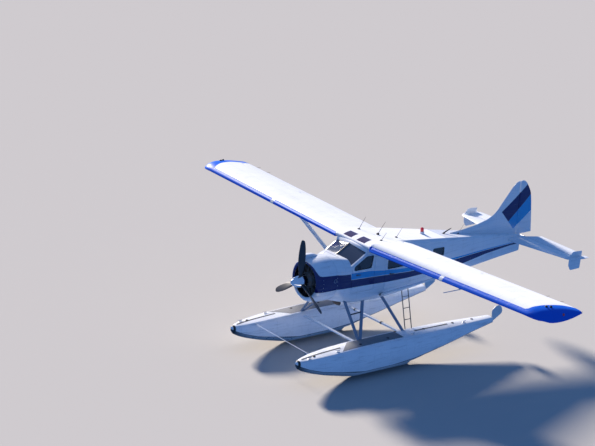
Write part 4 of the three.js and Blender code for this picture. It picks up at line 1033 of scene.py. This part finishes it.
def make_engine():
    piece("cowl_skin", turned(COWL, 96), FUSELAGE, "nose_paint", replaces=("engine_cowl",), crease=40)
    lining = turned([(0.508, 0.528), (0.566, 0.586), (0.598, 0.72), (0.604, 0.85), (0.6035, 1.15),
                     (0.6, 1.15), (0.6, 0.85), (0.594, 0.72), (0.562, 0.588), (0.504, 0.53)], 64)
    piece("cowl_lining", lining, INSIDE, "engine_metal")

    case = turned([(0, 0.46), (0.05, 0.46), (0.07, 0.468), (0.078, 0.49), (0.11, 0.503), (0.118, 0.52), (0.15, 0.575),
                   (0.16, 0.59), (0.2, 0.606), (0.228, 0.632), (0.236, 0.66), (0.24, 0.7), (0.24, 0.88), (0.232, 0.9),
                   (0.17, 0.96), (0.17, 1.155), (0, 1.155)], 54, closed=False)
    harness = turned([(0.205 + across, 0.585 + over) for across, over in circle(0.012, 8)], 54)
    piece("crankcase", case + harness, CASTING, "engine_metal", replaces=("engine",), crease=40)

    barrel = upright([(0, 0.18), (0.078, 0.18), (0.078, 0.2), (0.058, 0.21), (0.058, 0.475), (0.05, 0.48),
                      (0.05, 0.55), (0.03, 0.556), (0, 0.559)], 24, (0, ENGINE_Y, 0))
    ring("cylinder_barrels", barrel, CYLINDER, crease=30)
    ring("cooling_fins", fins(0.05, 0.0695, 0.272, 14, 0.0158), CYLINDER, crease=30)
    ring("head_fins", fins(0.044, 0.066, 0.492, 5, 0.0128), CASTING, crease=30)
    rods, covers, leads = Form(), Form(), Form()
    route = ((0.7, 0.59, 0.206), (0.5, 0.632, 0.3), (0.6, 0.648, 0.46), (0.6, 0.68, 0.5))
    for x in (0.046, -0.046):
        rods += tube([(x * 1.5, 0.62, 0.215), (x * 1.1, 0.655, 0.48)], 0.0085, 10)
        covers += block((x - 0.02, 0.64, 0.475), (x + 0.02, 0.72, 0.535))
        leads += tube([(x * share, y, z) for share, y, z in route], 0.004, 6)
    ring("pushrod_tubes", rods, CASTING)
    ring("rocker_covers", covers, CASTING, bevel=0.006)
    ring("ignition_leads", leads, COPPERY)
    latch = upright([(0, 0), (0.009, 0), (0.008, 0.003), (0, 0.004)], 12, (0, 1.135, 0.6345))
    latch += upright([(0, 0), (0.008, 0), (0.007, 0.003), (0, 0.004)], 12, (0, 0.655, 0.618))
    ring("cowl_fasteners", latch, BARE, 36, turn=0.5)
    baffle = turned([(0.3, 0.79), (0.585, 0.79), (0.585, 0.8), (0.3, 0.8)], 54)
    piece("baffle_plate", baffle, INSIDE, "engine_metal")
    make_propeller()

    def scoop_row(y, low, high, half):
        arch = [(SCOOP_X + copysign(half * abs(u) ** 0.6, u), y, high + 0.05 * (v - 1)) for u, v in arc(1, 180, 0, 12)]
        return [(SCOOP_X - half, y, low), *arch, (SCOOP_X + half, y, low)]
    outside = eased(((0.492, 0.54, 0.7, 0.092), (0.56, 0.54, 0.712, 0.096),
                     (0.76, 0.54, 0.702, 0.09), (0.98, 0.54, 0.628, 0.06)), 4)
    inlet = loft([scoop_row(0.4, 0.6, 0.686, 0.078), scoop_row(0.66, 0.612, 0.69, 0.07)])
    piece("air_scoop_skin", loft([scoop_row(*row) for row in outside]), SMOOTH_WHITE, "white_paint",
          replaces=("air_scoop",), holes=[inlet], bevel=0.003)
    # Near-black plate that closes the scoop's duct a little way in: painted shade for the dark depth of the intake
    dark = loft([scoop_row(y, 0.606, 0.686, 0.074) for y in (0.64, 0.65)])
    piece("scoop_shade_plug", dark, INSIDE, "engine_metal")

    start, bend, end = (Vector(point) for point in EXHAUST)
    path = [start.lerp(bend, 0.4), *bent(bend.lerp(start, 0.5), bend, bend.lerp(end, 0.5), 8), end]
    mouth = tube([bend.lerp(end, 0.15), end + (end - bend) * 0.2], 0.054, 32)
    piece("exhaust_stack", tube(path, 0.0618, 32), COPPERY, "engine_metal", replaces=("exhaust_pipe",),
          holes=[mouth], crease=40)


def make_propeller():
    rows = []
    for radius, chord, thick, pitch in eased(BLADES, 4):
        turn = radians(pitch)
        row = []
        for u, v in circle(1, 22):
            along = u * chord / 2
            rise = v * thick / 2 * (1 - 0.35 * u * (radius > 0.3))
            row.append((along * cos(turn) - rise * sin(turn),
                        PROPELLER_Y + along * sin(turn) + rise * cos(turn), radius))
        rows.append(row)
    hub = turned([(0, 0.25), (0.1, 0.25), (0.105, 0.255), (0.105, 0.4), (0.17, 0.444), (0.174, 0.448), (0.174, 0.458),
                  (0.064, 0.46), (0.064, 0.4696), (0, 0.4696)], 48, closed=False)
    piece("propeller_blades", joined(about(loft(rows), BLADE_COUNT)) + hub, BLADE, "blade_metal", "propeller",
          ("propeller",), crease=40)

    shares = [(i / 28) ** 1.6 for i in range(29)]
    outer = [(SPINNER_RADIUS * sqrt(sin(min(share * 1.06, 1) * pi / 2)), share * SPINNER_LENGTH) for share in shares]
    wall = SPINNER_RADIUS - SPINNER_WALL
    inner = [(wall, SPINNER_LENGTH), (wall, 0.39), (0.164, 0.3), (0.128, 0.2), (0.128, 0.15), (0, 0.15)]
    socket = tube([(0, PROPELLER_Y, 0.06), (0, PROPELLER_Y, 0.3)], 0.066, 32)
    piece("spinner_shell", turned(outer + inner, 96, closed=False), CHROME, "polished_metal", "propeller",
          ("spinner",), crease=40, holes=about(socket, BLADE_COUNT))


# Tail

def make_tail():
    def halved(right):
        """Closed outline from its right half."""
        return right + [(-x, y, z) for x, y, z in reversed(right)]

    def fin_row(z, front, half):
        points = [(0.0, 0.06), (0.04, 0.32), (0.12, 0.52), (0.25, 0.74), (0.45, 0.94), (0.7, 1), (1, 0.95)]
        return halved([(half * wide, front + part * (FIN_REAR - front), z) for part, wide in points])
    fin = [fin_row(*row) for row in eased(FIN[2:], 4)]
    base = [fin_row(0.2, FIN[1][1], FIN[1][2]), fin_row(*FIN[1])]
    piece("fin_skin", loft(base + fin), FIN_SKIN, "fin_paint", replaces=("fin",), crease=50)

    def rudder_row(z, rear, half):
        nose = [(v, RUDDER_HINGE + u, z) for u, v in arc(half, 100, 180, 5)]
        back = RUDDER_HINGE + 0.45 * (rear - RUDDER_HINGE)
        return halved([(0.003, rear, z), (half * 0.74, back, z), (half, RUDDER_HINGE, z)] + nose)
    pin = tube([(0, RUDDER_HINGE, 0.215), (0, RUDDER_HINGE, 0.3)], 0.015, 20)
    piece("rudder_skin", loft([rudder_row(*row) for row in eased(RUDDER, 4)]) + pin, FIN_SKIN, "fin_paint", "rudder",
          ("rudder",), crease=50)

    def plane_row(x, front, rear, half, blunt):
        points = [(0, 0), (0.02, 0.26), (0.06, 0.48), (0.13, 0.74), (0.25, 0.97), (0.4, 1), (0.6, 0.93),
                  (0.8, 0.6 + 0.22 * blunt), (1, 0.1 + 0.52 * blunt)]
        upper = [(x, front + part * (rear - front), TAILPLANE_Z + rise * half) for part, rise in points]
        lower = [(x, y, 2 * TAILPLANE_Z - z) for x, y, z in reversed(upper[1:])]
        return upper + lower
    rows = [plane_row(*row, 1) for row in TAILPLANE]
    left = [plane_row(-row[0], *row[1:], 1) for row in reversed(TAILPLANE[1:])]
    tips = loft([plane_row(*row, 0) for row in eased(TAILPLANE_TIP, 5)]).both()
    piece("tailplane_skin", loft(left + rows) + tips, PLAIN, "white_paint", replaces=("tailplane",), crease=50)
    blade = plate(rounded(FINLET, 0.04), FINLET_X - FINLET_HALF, FINLET_X + FINLET_HALF)
    sides("finlet_*_skin", blade, PLAIN, "white_paint", replaces=("finlet_*",), bevel=0.004)

    def elevator_row(x, rear, hinge_x):
        nose = [(hinge_x, ELEVATOR_HINGE + u, TAILPLANE_Z + v) for u, v in arc(ELEVATOR_NOSE, 90, 270, 12)]
        edge = TAILPLANE_Z + ELEVATOR_RISE
        return [(x, rear, edge + 0.004), *nose, (x, rear, edge - 0.004)]
    half = loft([elevator_row(0.44, 9.18, 0.208), elevator_row(2.18, 9.12, 2.18)])
    end = FINLET_X - 0.0074
    torque = tube([(x, ELEVATOR_HINGE, TAILPLANE_Z) for x in (-end, end)], 0.02, 20)
    piece("elevator_skin", half.both() + torque, PLAIN, "white_paint", "elevator", ("elevator",), crease=50)


# Small fittings

def whip(base, tip, radius=0.006):
    """Thin raked aerial on a small foot."""
    base, tip = Vector(base), Vector(tip)
    return (dome(base, 0.045, 0.03) + sweep([base, base.lerp(tip, 0.1), base.lerp(tip, 0.6), tip],
                                            [circle(size, 10) for size in (0.016, radius * 1.3, radius, radius * 0.5)]))


def make_fittings():
    aerials = joined(whip(*aerial) for aerial in (
        ((-0.47, 2.69, 1.03), (-0.44, 2.89, 1.39)), ((0.09, 2.92, 1.03), (0.12, 3.14, 1.37)),
        ((0.6, 2.6, 1.03), (0.6, 2.78, 1.24)), ((0.33, 3.4, 0.93), (0.34, 3.6, 1.2), 0.005),
        ((0, 6.1, 0.575), (0, 6.36, 0.86), 0.004)))
    piece("whip_aerials", aerials, RUBBER, "cabin_plastic", crease=50)
    blade = loft([[(x, y + aft, z) for x, y in circle(size, 20)] for z, size, aft in
                  ((0.62, 0.016, 0), (0.66, 0.016, 0), (0.74, 0.012, 0.05), (0.78, 0.007, 0.075))])
    stretch = Matrix.Translation((0, 5.52, 0)) @ Matrix.Diagonal((1, 4, 1, 1))
    piece("blade_aerial", blade.put(stretch), RUBBER, "cabin_plastic", crease=50)
    base = upright([(0.075, -0.03), (0.072, 0.02), (0.062, 0.05), (0, 0.052)], 32, (0, 4.68, 0.785))
    piece("beacon_base", base, SMOOTH_WHITE, "white_paint", crease=50)
    bulb = [(0.05, 0.0), (0.052, 0.012), (0.05, 0.075), (0.036, 0.105), (0.016, 0.118), (0, 0.121)]
    piece("beacon_lens", upright(bulb, 32, (0, 4.68, 0.837)), RED, "window_glass", crease=50)

    pitot = tube([(4.2, 1.7, 0.84), (4.2, 2.37, 0.84)], 0.011, 16)
    pitot += loft([[(4.2 + x, y * 3.2 + 2.28, z) for x, y in circle(0.012, 16)] for z in (0.84, 1.0)])
    piece("pitot_tube", pitot, BARE, "strut_paint", crease=50)

    lamp = dome((7.262, 3.0, chord_z(7.262, 3.0) - 0.052), 0.036, 0.045)
    for (side, matrix), colour in zip(SIDES, (RED, GREEN)):
        piece(f"tip_lamp_{side}", lamp.put(matrix), colour, "window_glass", crease=50)
    pads = joined(dome((x, y, wing_top(7.0, y) - 0.024), 0.036, 0.034) for x, y in ((7.0, 2.62), (7.045, 2.74)))
    sides("tip_fittings_*", pads, RUBBER, "cabin_plastic", crease=50)
    ends = [(7.2, 1.0), *((x, chord_z(x, 3.65) + 0.006) for x in (6.5, 6.0))]
    wicks = joined(tube([(x, 3.63, z), (x, 3.79, z - 0.012)], 0.0035, 8) for x, z in ends)
    sides("trailing_wicks_*", wicks, RUBBER, "cabin_plastic")
    rows = [wing_row(x, front=-0.003, above=1.03, below=1.03, cuff=1) for x in LAMP_X]
    front = block((3.5, 1.9, 0.6), (3.9, 2.09, 1.4))
    sides("landing_lamp_*", loft(rows), CLEAR, "window_glass", keep=[front])

    for name, y, z, body in (("cockpit", 1.79, 0.16, "cockpit_door_*"), ("cabin", 3.02, 0.02, "cabin_door_*")):
        x = cabin_half(y)
        bend = ((0.004, 0), (0.028, 0), (0.03, 0.03), (0.026, 0.12))
        handle = dome((x, y, z), 0.026, 0.008, (1, 0, 0)) + tube([(x + u, y + v, z) for u, v in bend], 0.009, 12)
        sides(f"{name}_handle_*", handle, CASTING, "strut_paint", body, crease=50)


def make_rivets():
    spars = [[(x / 10, y) for x in range(8, 68, 3)] for y in (2.33, 2.62, 3.02, 3.26)]
    ribs = [[(x, y / 20) for y in range(44, 66)] for x in (1.35, 1.95, 2.55, 3.15, 3.92, 4.5, 5.1, 5.7, 6.3)]
    rows = [[(x, y, wing_top(x, y) + HAIR) for x, y in row] for row in spars + ribs]
    heads("wing_rivets", rows, "wing_paint", 0.075, 0.003)

    def on_cone(row, share):
        y, half, top, bottom, high, low = row
        return (half + HAIR, y, bottom + low + (top - high - bottom - low) * share)
    places = (5.42, 5.9, 6.4, 6.9, 7.4, 7.9, 8.35)
    frames = [[on_cone(between(TAIL_CONE, y), i / 6) for i in range(7)] for y in places]
    stringers = [[on_cone(row, share) for row in eased(TAIL_CONE, 4)] for share in (0.12, 0.5, 0.88)]
    heads("tail_cone_rivets", frames + stringers, "fuselage_paint", 0.055, 0.0035)

    def along(rise, tuck=0.0):
        """Lines along both sides of a float at a height between its chine and deck."""
        return [[(FLOAT_X + side * (half - tuck), y, rise(chine, deck)) for y, half, _, chine, deck in table]
                for table in (FLOAT_FRONT_ROWS[3:], FLOAT_REAR_ROWS) for side in (1, -1)]
    rows = along(lambda chine, deck: chine + 0.02) + along(lambda chine, deck: deck - 0.115, 0.004)
    heads("float_rivets", rows, "float_paint", 0.07, 0.0055)


# Floats, struts and ladders

def float_row(y, half, keel, chine, deck, grow=0.0):
    """Ring of the port float at one y."""
    reach = min(DECK_EDGE[0], DECK_EDGE[2] * half)
    fall = min(DECK_EDGE[1], DECK_EDGE[3] * (deck - chine))
    inner = half - reach
    eighths, sixths = [i / 8 for i in range(9)], [i / 6 for i in range(1, 7)]
    side = [(0.024 + (half - 0.024) * t, keel + (chine - keel) * (t + 0.12 * sin(pi * t))) for t in eighths]
    side += [(half * (1 - 0.015 * t), chine + (deck - fall - chine) * t) for t in sixths]
    width = half * 0.985 - inner
    side += [(inner + width * abs(u) ** 1.3, deck - fall + fall * v ** 1.3) for u, v in arc(1, 15, 90, 5)]
    side += [(inner * (1 - t), deck + DECK_CROWN * (1 - (1 - t) ** 2)) for t in sixths[:-1]]
    outline = side + [(0, deck + DECK_CROWN)] + [(-x, z) for x, z in reversed(side)]
    return [(FLOAT_X + x * (1 + grow / half), y, z + grow * (1 if z > chine else -1)) for x, z in outline]


FLOAT_FRONT_ROWS = eased(FLOAT_FRONT, 5)
FLOAT_REAR_ROWS = eased(FLOAT_REAR, 5)


def float_place(y):
    """Half beam, keel, chine and deck of a float at one y."""
    return between(FLOAT_FRONT_ROWS if y < 3.2 else FLOAT_REAR_ROWS, y)[1:]


def deck_point(x, y, proud=0.0):
    """Point on the port deck, x across from the middle of the float."""
    half, _, _, deck = float_place(y)
    inner = half - min(DECK_EDGE[0], DECK_EDGE[2] * half)
    return (FLOAT_X + x, y, deck + DECK_CROWN * (1 - min(abs(x) / inner, 1) ** 2) + proud)


def deck_mat(low_x, high_x, start, end, slant=0.0):
    """Thin layer on the port deck. Slant moves its front edge aft for each metre inwards."""
    across = [low_x + (high_x - low_x) * j / 10 for j in range(11)]
    rows = []
    for i in range(25):
        firsts = [start + slant * (high_x - x) for x in across]
        top, under = ([deck_point(x, first + (end - first) * i / 24, proud) for x, first in zip(across, firsts)]
                      for proud in (MAT_HALF, -MAT_HALF))
        rows.append(top + under[::-1])
    return loft(rows)


def dome(centre, reach, height, facing=(0, 0, 1)):
    """Low rounded mound on a surface."""
    shares = ((1, -0.3), (1, 0.1), (0.97, 0.45), (0.8, 0.82), (0.45, 0.97), (0, 1))
    return upright([(wide * reach, tall * height) for wide, tall in shares], 28, centre, facing)


def make_deck_fittings():
    bow = [float_row(y, *float_place(y), grow=0.007) for y in (-0.765, -0.75, -0.73, -0.715)]
    sides("bow_collar_*", loft(bow), RUBBER, "cabin_plastic", crease=40)
    # Grey layer on both decks, partly painted shade: on the port float it stands for the fuselage's shadow, and its
    # slanted front edge follows that shadow's edge
    sides("deck_tread_*", deck_mat(-0.215, 0.215, 0.64, 2.82, 1.13), TREAD_AND_SHADE, "cabin_plastic", crease=40)
    strips = deck_mat(-0.028, 0.028, -0.62, 0.72) + deck_mat(-0.028, 0.028, 3.4, 4.65)
    sides("deck_grip_*", strips, GRIP, "cabin_plastic", crease=40)
    places = ((0.05, -0.23), (0.09, 1.36), (0.09, 2.35), (-0.2, 2.86), (0, 3.75), (0, 4.85), (0, 5.6))
    caps = joined(dome(deck_point(*place), 0.042, 0.016) for place in places)
    sides("bilge_caps_*", caps, RUBBER, "cabin_plastic", crease=40)
    cleats = Form()
    horns = ((-0.08, 0.05), (-0.045, 0.038), (0.045, 0.038), (0.08, 0.05))
    for place in ((0.1, -0.42), (0.17, 0.5), (0.17, 3.2), (0.1, 5.2)):
        x, y, z = deck_point(*place)
        cleats += tube([(x, y + aft, z + rise) for aft, rise in horns], 0.009, 12) + dome((x, y, z), 0.05, 0.008)
        for aft in (-0.032, 0.032):
            cleats += tube([(x, y + aft, z + rise) for rise in (-0.004, 0.036)], 0.009, 12)
    sides("deck_cleats_*", cleats, BARE, "strut_paint", crease=50)

    wire = tube([(-1.2, -0.13, -1.602), (1.205, -0.2, -1.6)], 0.0075, 10)
    piece("bow_wire", wire, SMOOTH_WHITE, "cabin_plastic")
    eyes = joined(tube([(x, y - 0.03, -1.6), (x, y + 0.03, -1.6)], 0.017, 14) for x, y in ((1.2, -0.2), (-1.2, -0.13)))
    piece("bow_eyes", eyes, BARE, "strut_paint", crease=50)
    y, z = SPREADERS["spreader_rear"], SPREADER_Z
    # Two dark rubber bands round the rear spreader at x -0.86 and 0.3, where dark marks cross it
    dark_bands = joined(streamlined(((x - 0.022, y, z), (x + 0.022, y, z)), (0.112, 0.076)) for x in (-0.86, 0.3))
    piece("spreader_dark_bands", dark_bands, RUBBER, "cabin_plastic", crease=50)
    fittings = Form()
    cuff = tuple(side + 0.012 for side in FLOAT_STRUT_SIZE)
    for ends, size, foot, head in ((FRONT_STRUT, cuff, 0.05, 0.94), (MIDDLE_STRUT, cuff, 0.05, 0.94),
                                   (REAR_STRUT, cuff, 0.05, 0.94), (WING_STRUT, (0.156, 0.066), 0.03, 0.965)):
        low, high = (Vector(point) for point in ends)
        fittings += streamlined((low.lerp(high, head), high), size) + streamlined((low, low.lerp(high, foot)), size)
    sides("strut_fittings_*", fittings, CASTING, "strut_paint", crease=50)


def make_floats():
    hull = [loft([float_row(*row) for row in rows]) for rows in (FLOAT_FRONT_ROWS, FLOAT_REAR_ROWS)]
    lugs = joined(block((FLOAT_X - 0.026, 6.3, z), (FLOAT_X + 0.026, 6.396, z + 0.014)) for z in STERN_LUGS)
    sides("float_*_hull", joined(hull), FLOAT, "float_paint", replaces=("float_*",), crease=32)
    sides("stern_lugs_*", lugs, BARE, "rudder_metal", bevel=0.003)

    front = joined(streamlined(strut, FLOAT_STRUT_SIZE) for strut in (FRONT_STRUT, MIDDLE_STRUT))
    for name, form, material in (("front_struts_*", front, STRUT),
                                 ("rear_strut_*", streamlined(REAR_STRUT, FLOAT_STRUT_SIZE), STRUT),
                                 # The wing struts take the white enamel as painted light, lighter than the float struts
                                 # so that they read as sunlit
                                 ("wing_strut_*", streamlined(WING_STRUT, WING_STRUT_SIZE, 36), SMOOTH_WHITE)):
        sides(f"{name}_skin", form, material, "strut_paint", replaces=(name,), crease=50)
    foot_rail = []
    for ends in (FRONT_STRUT, MIDDLE_STRUT):
        low, high = (Vector(point) for point in ends)
        foot_rail.append(low.lerp(high, (FOOT_RAIL_Z - low.z) / (high.z - low.z)))
    sides("boarding_step_*", tube(foot_rail, 0.018, 20), RUBBER, "strut_paint")
    reach = FLOAT_X - 0.3
    for name, y in SPREADERS.items():
        bar = streamlined(((-reach, y, SPREADER_Z), (reach, y, SPREADER_Z)), SPREADER_SIZE)
        piece(f"{name}_skin", bar, SMOOTH_WHITE, "white_paint", replaces=(name,), crease=50)

    half = Vector((0, LADDER_HALF, 0))
    rails = joined(tube([LADDER_FOOT + shift, LADDER_TOP + shift], 0.014, 16) for shift in (half, -half))
    sides("ladder_rails_*", rails, CASTING, "strut_paint", replaces=("ladder_*",), crease=50)
    climb = LADDER_TOP - LADDER_FOOT
    low = LADDER_FOOT + climb * 0.24
    for side, matrix in SIDES:
        rung = tube([low - half, low + half], 0.011, 14).put(matrix)
        rungs = grown(rung, STACK, CASTING, Count=3, Step=matrix @ (climb * 0.26))
        rungs.name = f"ladder_rungs_{side}"
        dressed(rungs, CASTING, "airframe", "strut_paint", crease=50)
        refined(f"water_rudder_head_{side}", BARE, "rudder_metal", 0.002)
        refined(f"water_rudder_blade_{side}", BARE, "rudder_metal", 0.003)


# Cabin

# Heights of the seat frames and pads. Pads start smaller than they end, because they swell
SEAT_WIDTH = (0.09, 0.53)
BENCH_WIDTH = (-0.52, 0.52)
SEAT_FRONT_Y = 1.96
BENCH_FRONT_Y = 3.12
SEAT_LEAN = atan2(0.1, 0.64)
SWELL = 0.018
CHANNEL_DEPTH, CHANNEL_WIDTH = 0.009, 0.008
PANEL_Y = 1.7


def swollen(obj, frames=20):
    """Lets the skin of a pad swell as cloth does, no point further than the cap."""
    before = [vertex.co.copy() for vertex in obj.data.vertices]
    cloth = obj.modifiers.new("swell", "CLOTH")
    cloth.settings.use_pressure = True
    cloth.settings.uniform_pressure_force = 4
    cloth.settings.effector_weights.gravity = 0
    for number in range(1, frames + 1):
        bpy.context.scene.frame_set(number)
    baked(obj)
    bpy.context.scene.frame_set(1)
    for vertex, start in zip(obj.data.vertices, before):
        move = vertex.co - start
        if move.length > SWELL:
            vertex.co = start + move.normalized() * SWELL
    return obj


def pad(name, low, high, place, voxel, channels):
    """Sewn pad from a block. Channels are the x places of its seams, and one more seam goes across its middle."""
    rows = []
    for share, inset in ((0, 0.02), (0.25, 0.004), (0.5, 0), (0.75, 0.004), (1, 0.02)):
        z = low[2] + share * (high[2] - low[2])
        (x0, y0), (x1, y1) = [v + inset for v in low[:2]], [v - inset for v in high[:2]]
        rows.append([(x, y, z) for x, y in rounded([(x0, y0), (x1, y0), (x1, y1), (x0, y1)], 0.045)])
    obj = shown(name, mesh_of(name, loft(rows).put(place)))
    even = obj.modifiers.new("even", "REMESH")
    even.mode, even.voxel_size = "VOXEL", voxel
    baked(obj)
    swollen(obj)
    soft = obj.modifiers.new("soft", "SUBSURF")
    soft.levels = soft.render_levels = 1
    baked(obj)
    up = (place.to_3x3() @ Vector((0, 0, 1))).normalized()
    back = (HOME @ place).inverted()
    for vertex in obj.data.vertices:
        here = back @ vertex.co
        if vertex.normal.dot(up) > 0.3:
            offsets = [here.x - x for x in channels] + [here.y - (low[1] + high[1]) / 2]
            sunk = sum(exp(-(offset / CHANNEL_WIDTH) ** 2) for offset in offsets)
            vertex.co -= up * CHANNEL_DEPTH * min(sunk, 1)
    return obj


def make_pads(width, front, voxel, channels):
    """Squab and back pad of a seat."""
    low_x, high_x = width[0] + 0.022, width[1] - 0.022
    lean = Matrix.Translation((0, front + 0.455, -0.225)) @ Matrix.Rotation(-SEAT_LEAN, 4, "X")
    stood = lean @ Matrix.Rotation(pi / 2, 4, "X")
    squab = pad("squab", (low_x, front + 0.022, -0.298), (high_x, front + 0.4, -0.25), Matrix.Identity(4),
                voxel, channels)
    return squab, pad("back_pad", (low_x, 0.03, -0.008), (high_x, 0.585, 0.026), stood, voxel, channels)


def make_seat(name, width, front, pads, node, foot):
    low_x, high_x = width
    for obj, label in zip(pads, ("squab", "back_pad")):
        obj.name = f"{name}_{label}"
        dressed(obj, FABRIC, "airframe", "seat_fabric", crease=60)
    shell = ((0, -0.33), (0.5, -0.33), (0.6, 0.4), (0.582, 0.4), (0.482, -0.312), (0, -0.312))
    form = plate([(front + aft, z) for aft, z in shell], low_x, high_x)
    for x in (low_x + 0.05, high_x - 0.05):
        for y in (front + 0.125, front + 0.325):
            form += tube([(x, y, foot), (x, y, -0.32)], 0.014, 14)
        form += tube([(x, front + 0.12, foot + 0.012), (x, front + 0.335, foot + 0.012)], 0.011, 12)
    piece(f"{name}_frame", form, PLASTIC, "cabin_plastic", replaces=(node,), bevel=0.004)


def make_cabin():
    refined("instrument_panel", PANEL_BLACK, "cabin_plastic", 0.006)
    bezel = turned([(0.031, 0.0), (0.037, 0.0), (0.037, 0.007), (0.033, 0.009), (0.031, 0.006)], 24)
    dial = turned([(0, -0.001), (0.032, -0.001), (0.032, 0.003), (0, 0.003)], 24, closed=False)
    needle = block((-0.0015, 0.003, -0.004), (0.0015, 0.0045, 0.026))
    kinds = (("bezels", bezel, PANEL_BLACK), ("dials", dial, INSIDE), ("needles", needle, SMOOTH_WHITE))
    for number, (x, z, count) in enumerate(((-0.5, 0.33, 12), (-0.46, 0.235, 11), (-0.5, 0.14, 12)), 1):
        for label, form, material in kinds:
            place = Matrix.Translation((x, PANEL_Y, z))
            obj = grown(form.put(place), STACK, material, Count=count, Step=(0.091, 0, 0))
            obj.name = f"panel_{label}_{number}"
            dressed(obj, material, "airframe", "cabin_plastic", crease=40)
    for side, x in (("right", -0.31), ("left", 0.31)):
        yoke = tube([(x, 1.69, 0.09), (x, 1.79, 0.12)], 0.013, 16)
        yoke += tube([(x + 0.115 * u, 1.8, 0.135 + 0.105 * v) for u, v in arc(1, -215, 35, 26)], 0.011, 12)
        yoke += tube([(x - 0.1, 1.8, 0.12), (x, 1.795, 0.125), (x + 0.1, 1.8, 0.12)], 0.01, 12)
        piece(f"control_wheel_{side}", yoke, RUBBER, "cabin_plastic", crease=50)
    middle = sum(SEAT_WIDTH) / 2
    pads = make_pads(SEAT_WIDTH, SEAT_FRONT_Y, 0.012, (middle - 0.075, middle + 0.075))
    make_seat("front_seat_left", SEAT_WIDTH, SEAT_FRONT_Y, pads, "seat_front_left", -0.65)
    others = []
    for obj in pads:
        mesh = obj.data.copy()
        mesh.transform(MIRROR)
        mesh.flip_normals()
        others.append(shown(obj.name, mesh))
    make_seat("front_seat_right", (-SEAT_WIDTH[1], -SEAT_WIDTH[0]), SEAT_FRONT_Y, others, "seat_front_right", -0.65)
    pads = make_pads(BENCH_WIDTH, BENCH_FRONT_Y, 0.018, (-0.26, 0, 0.26))
    make_seat("bench", BENCH_WIDTH, BENCH_FRONT_Y, pads, "rear_bench", -0.61)


make_wings()
make_fuselage()
make_engine()
make_tail()
make_floats()
make_deck_fittings()
make_fittings()
make_rivets()
make_cabin()


# Floor, light and camera

FLOOR_REACH = 200.0


def make_floor():
    material, g, shader, where = surface("studio floor", (0.47, 0.45, 0.42), 0.8, **{"Specular IOR Level": 0.0})
    g.wire(shader.inputs["Roughness"], g.span(g.noise(where, 0.2), 0.2, 0.8, 0.7, 0.9))
    mesh = bpy.data.meshes.new("studio_floor")
    corners = [(x * FLOOR_REACH, y * FLOOR_REACH, 0) for x, y in ((-1, -1), (1, -1), (1, 1), (-1, 1))]
    mesh.from_pydata(corners, [], [(0, 1, 2, 3)])
    floor = shown("studio_floor", mesh)
    mesh.materials.append(material)
    floor.visible_diffuse = floor.visible_glossy = False


def make_light():
    light = bpy.data.lights.new("low warm light", "SUN")
    light.energy, light.angle, light.color = 9.3, radians(9), (1.0, 0.9, 0.79)
    shown(light.name, light).rotation_euler = Vector((-0.905, 0.08, 0.42)).to_track_quat("Z", "Y").to_euler()
    world = bpy.data.worlds.new("studio air")
    world.use_nodes = True
    g = Graph(world.node_tree)
    air = world.node_tree.nodes["Background"]
    seen = g.add("ShaderNodeLightPath").outputs["Is Camera Ray"]
    g.wire(air.inputs["Color"], g.mix(seen, (0.105, 0.245, 0.6), (0.62, 0.66, 0.72)))
    air.inputs["Strength"].default_value = 0.84
    bpy.context.scene.world = world
    bpy.context.scene.view_settings.view_transform = "Standard"


def make_camera():
    turn, dip, roll = (radians(angle) for angle in (50.363, 17.699, 4.799))
    back = Vector((sin(turn) * cos(dip), -cos(turn) * cos(dip), sin(dip)))
    right = Vector((cos(turn), sin(turn), 0))
    up = back.cross(right)
    across = right * cos(roll) + up * sin(roll)
    over = up * cos(roll) - right * sin(roll)
    camera = bpy.data.cameras.new("photo camera")
    camera.sensor_width, camera.lens, camera.clip_end = 36, 119.6, 1000
    obj = shown(camera.name, camera)
    place = Matrix((across, over, back)).transposed().to_4x4()
    place.translation = HOME @ Vector((39.1477, -32.3712, 17.936))
    obj.matrix_world = place
    bpy.context.scene.camera = obj


make_floor()
make_light()
make_camera()
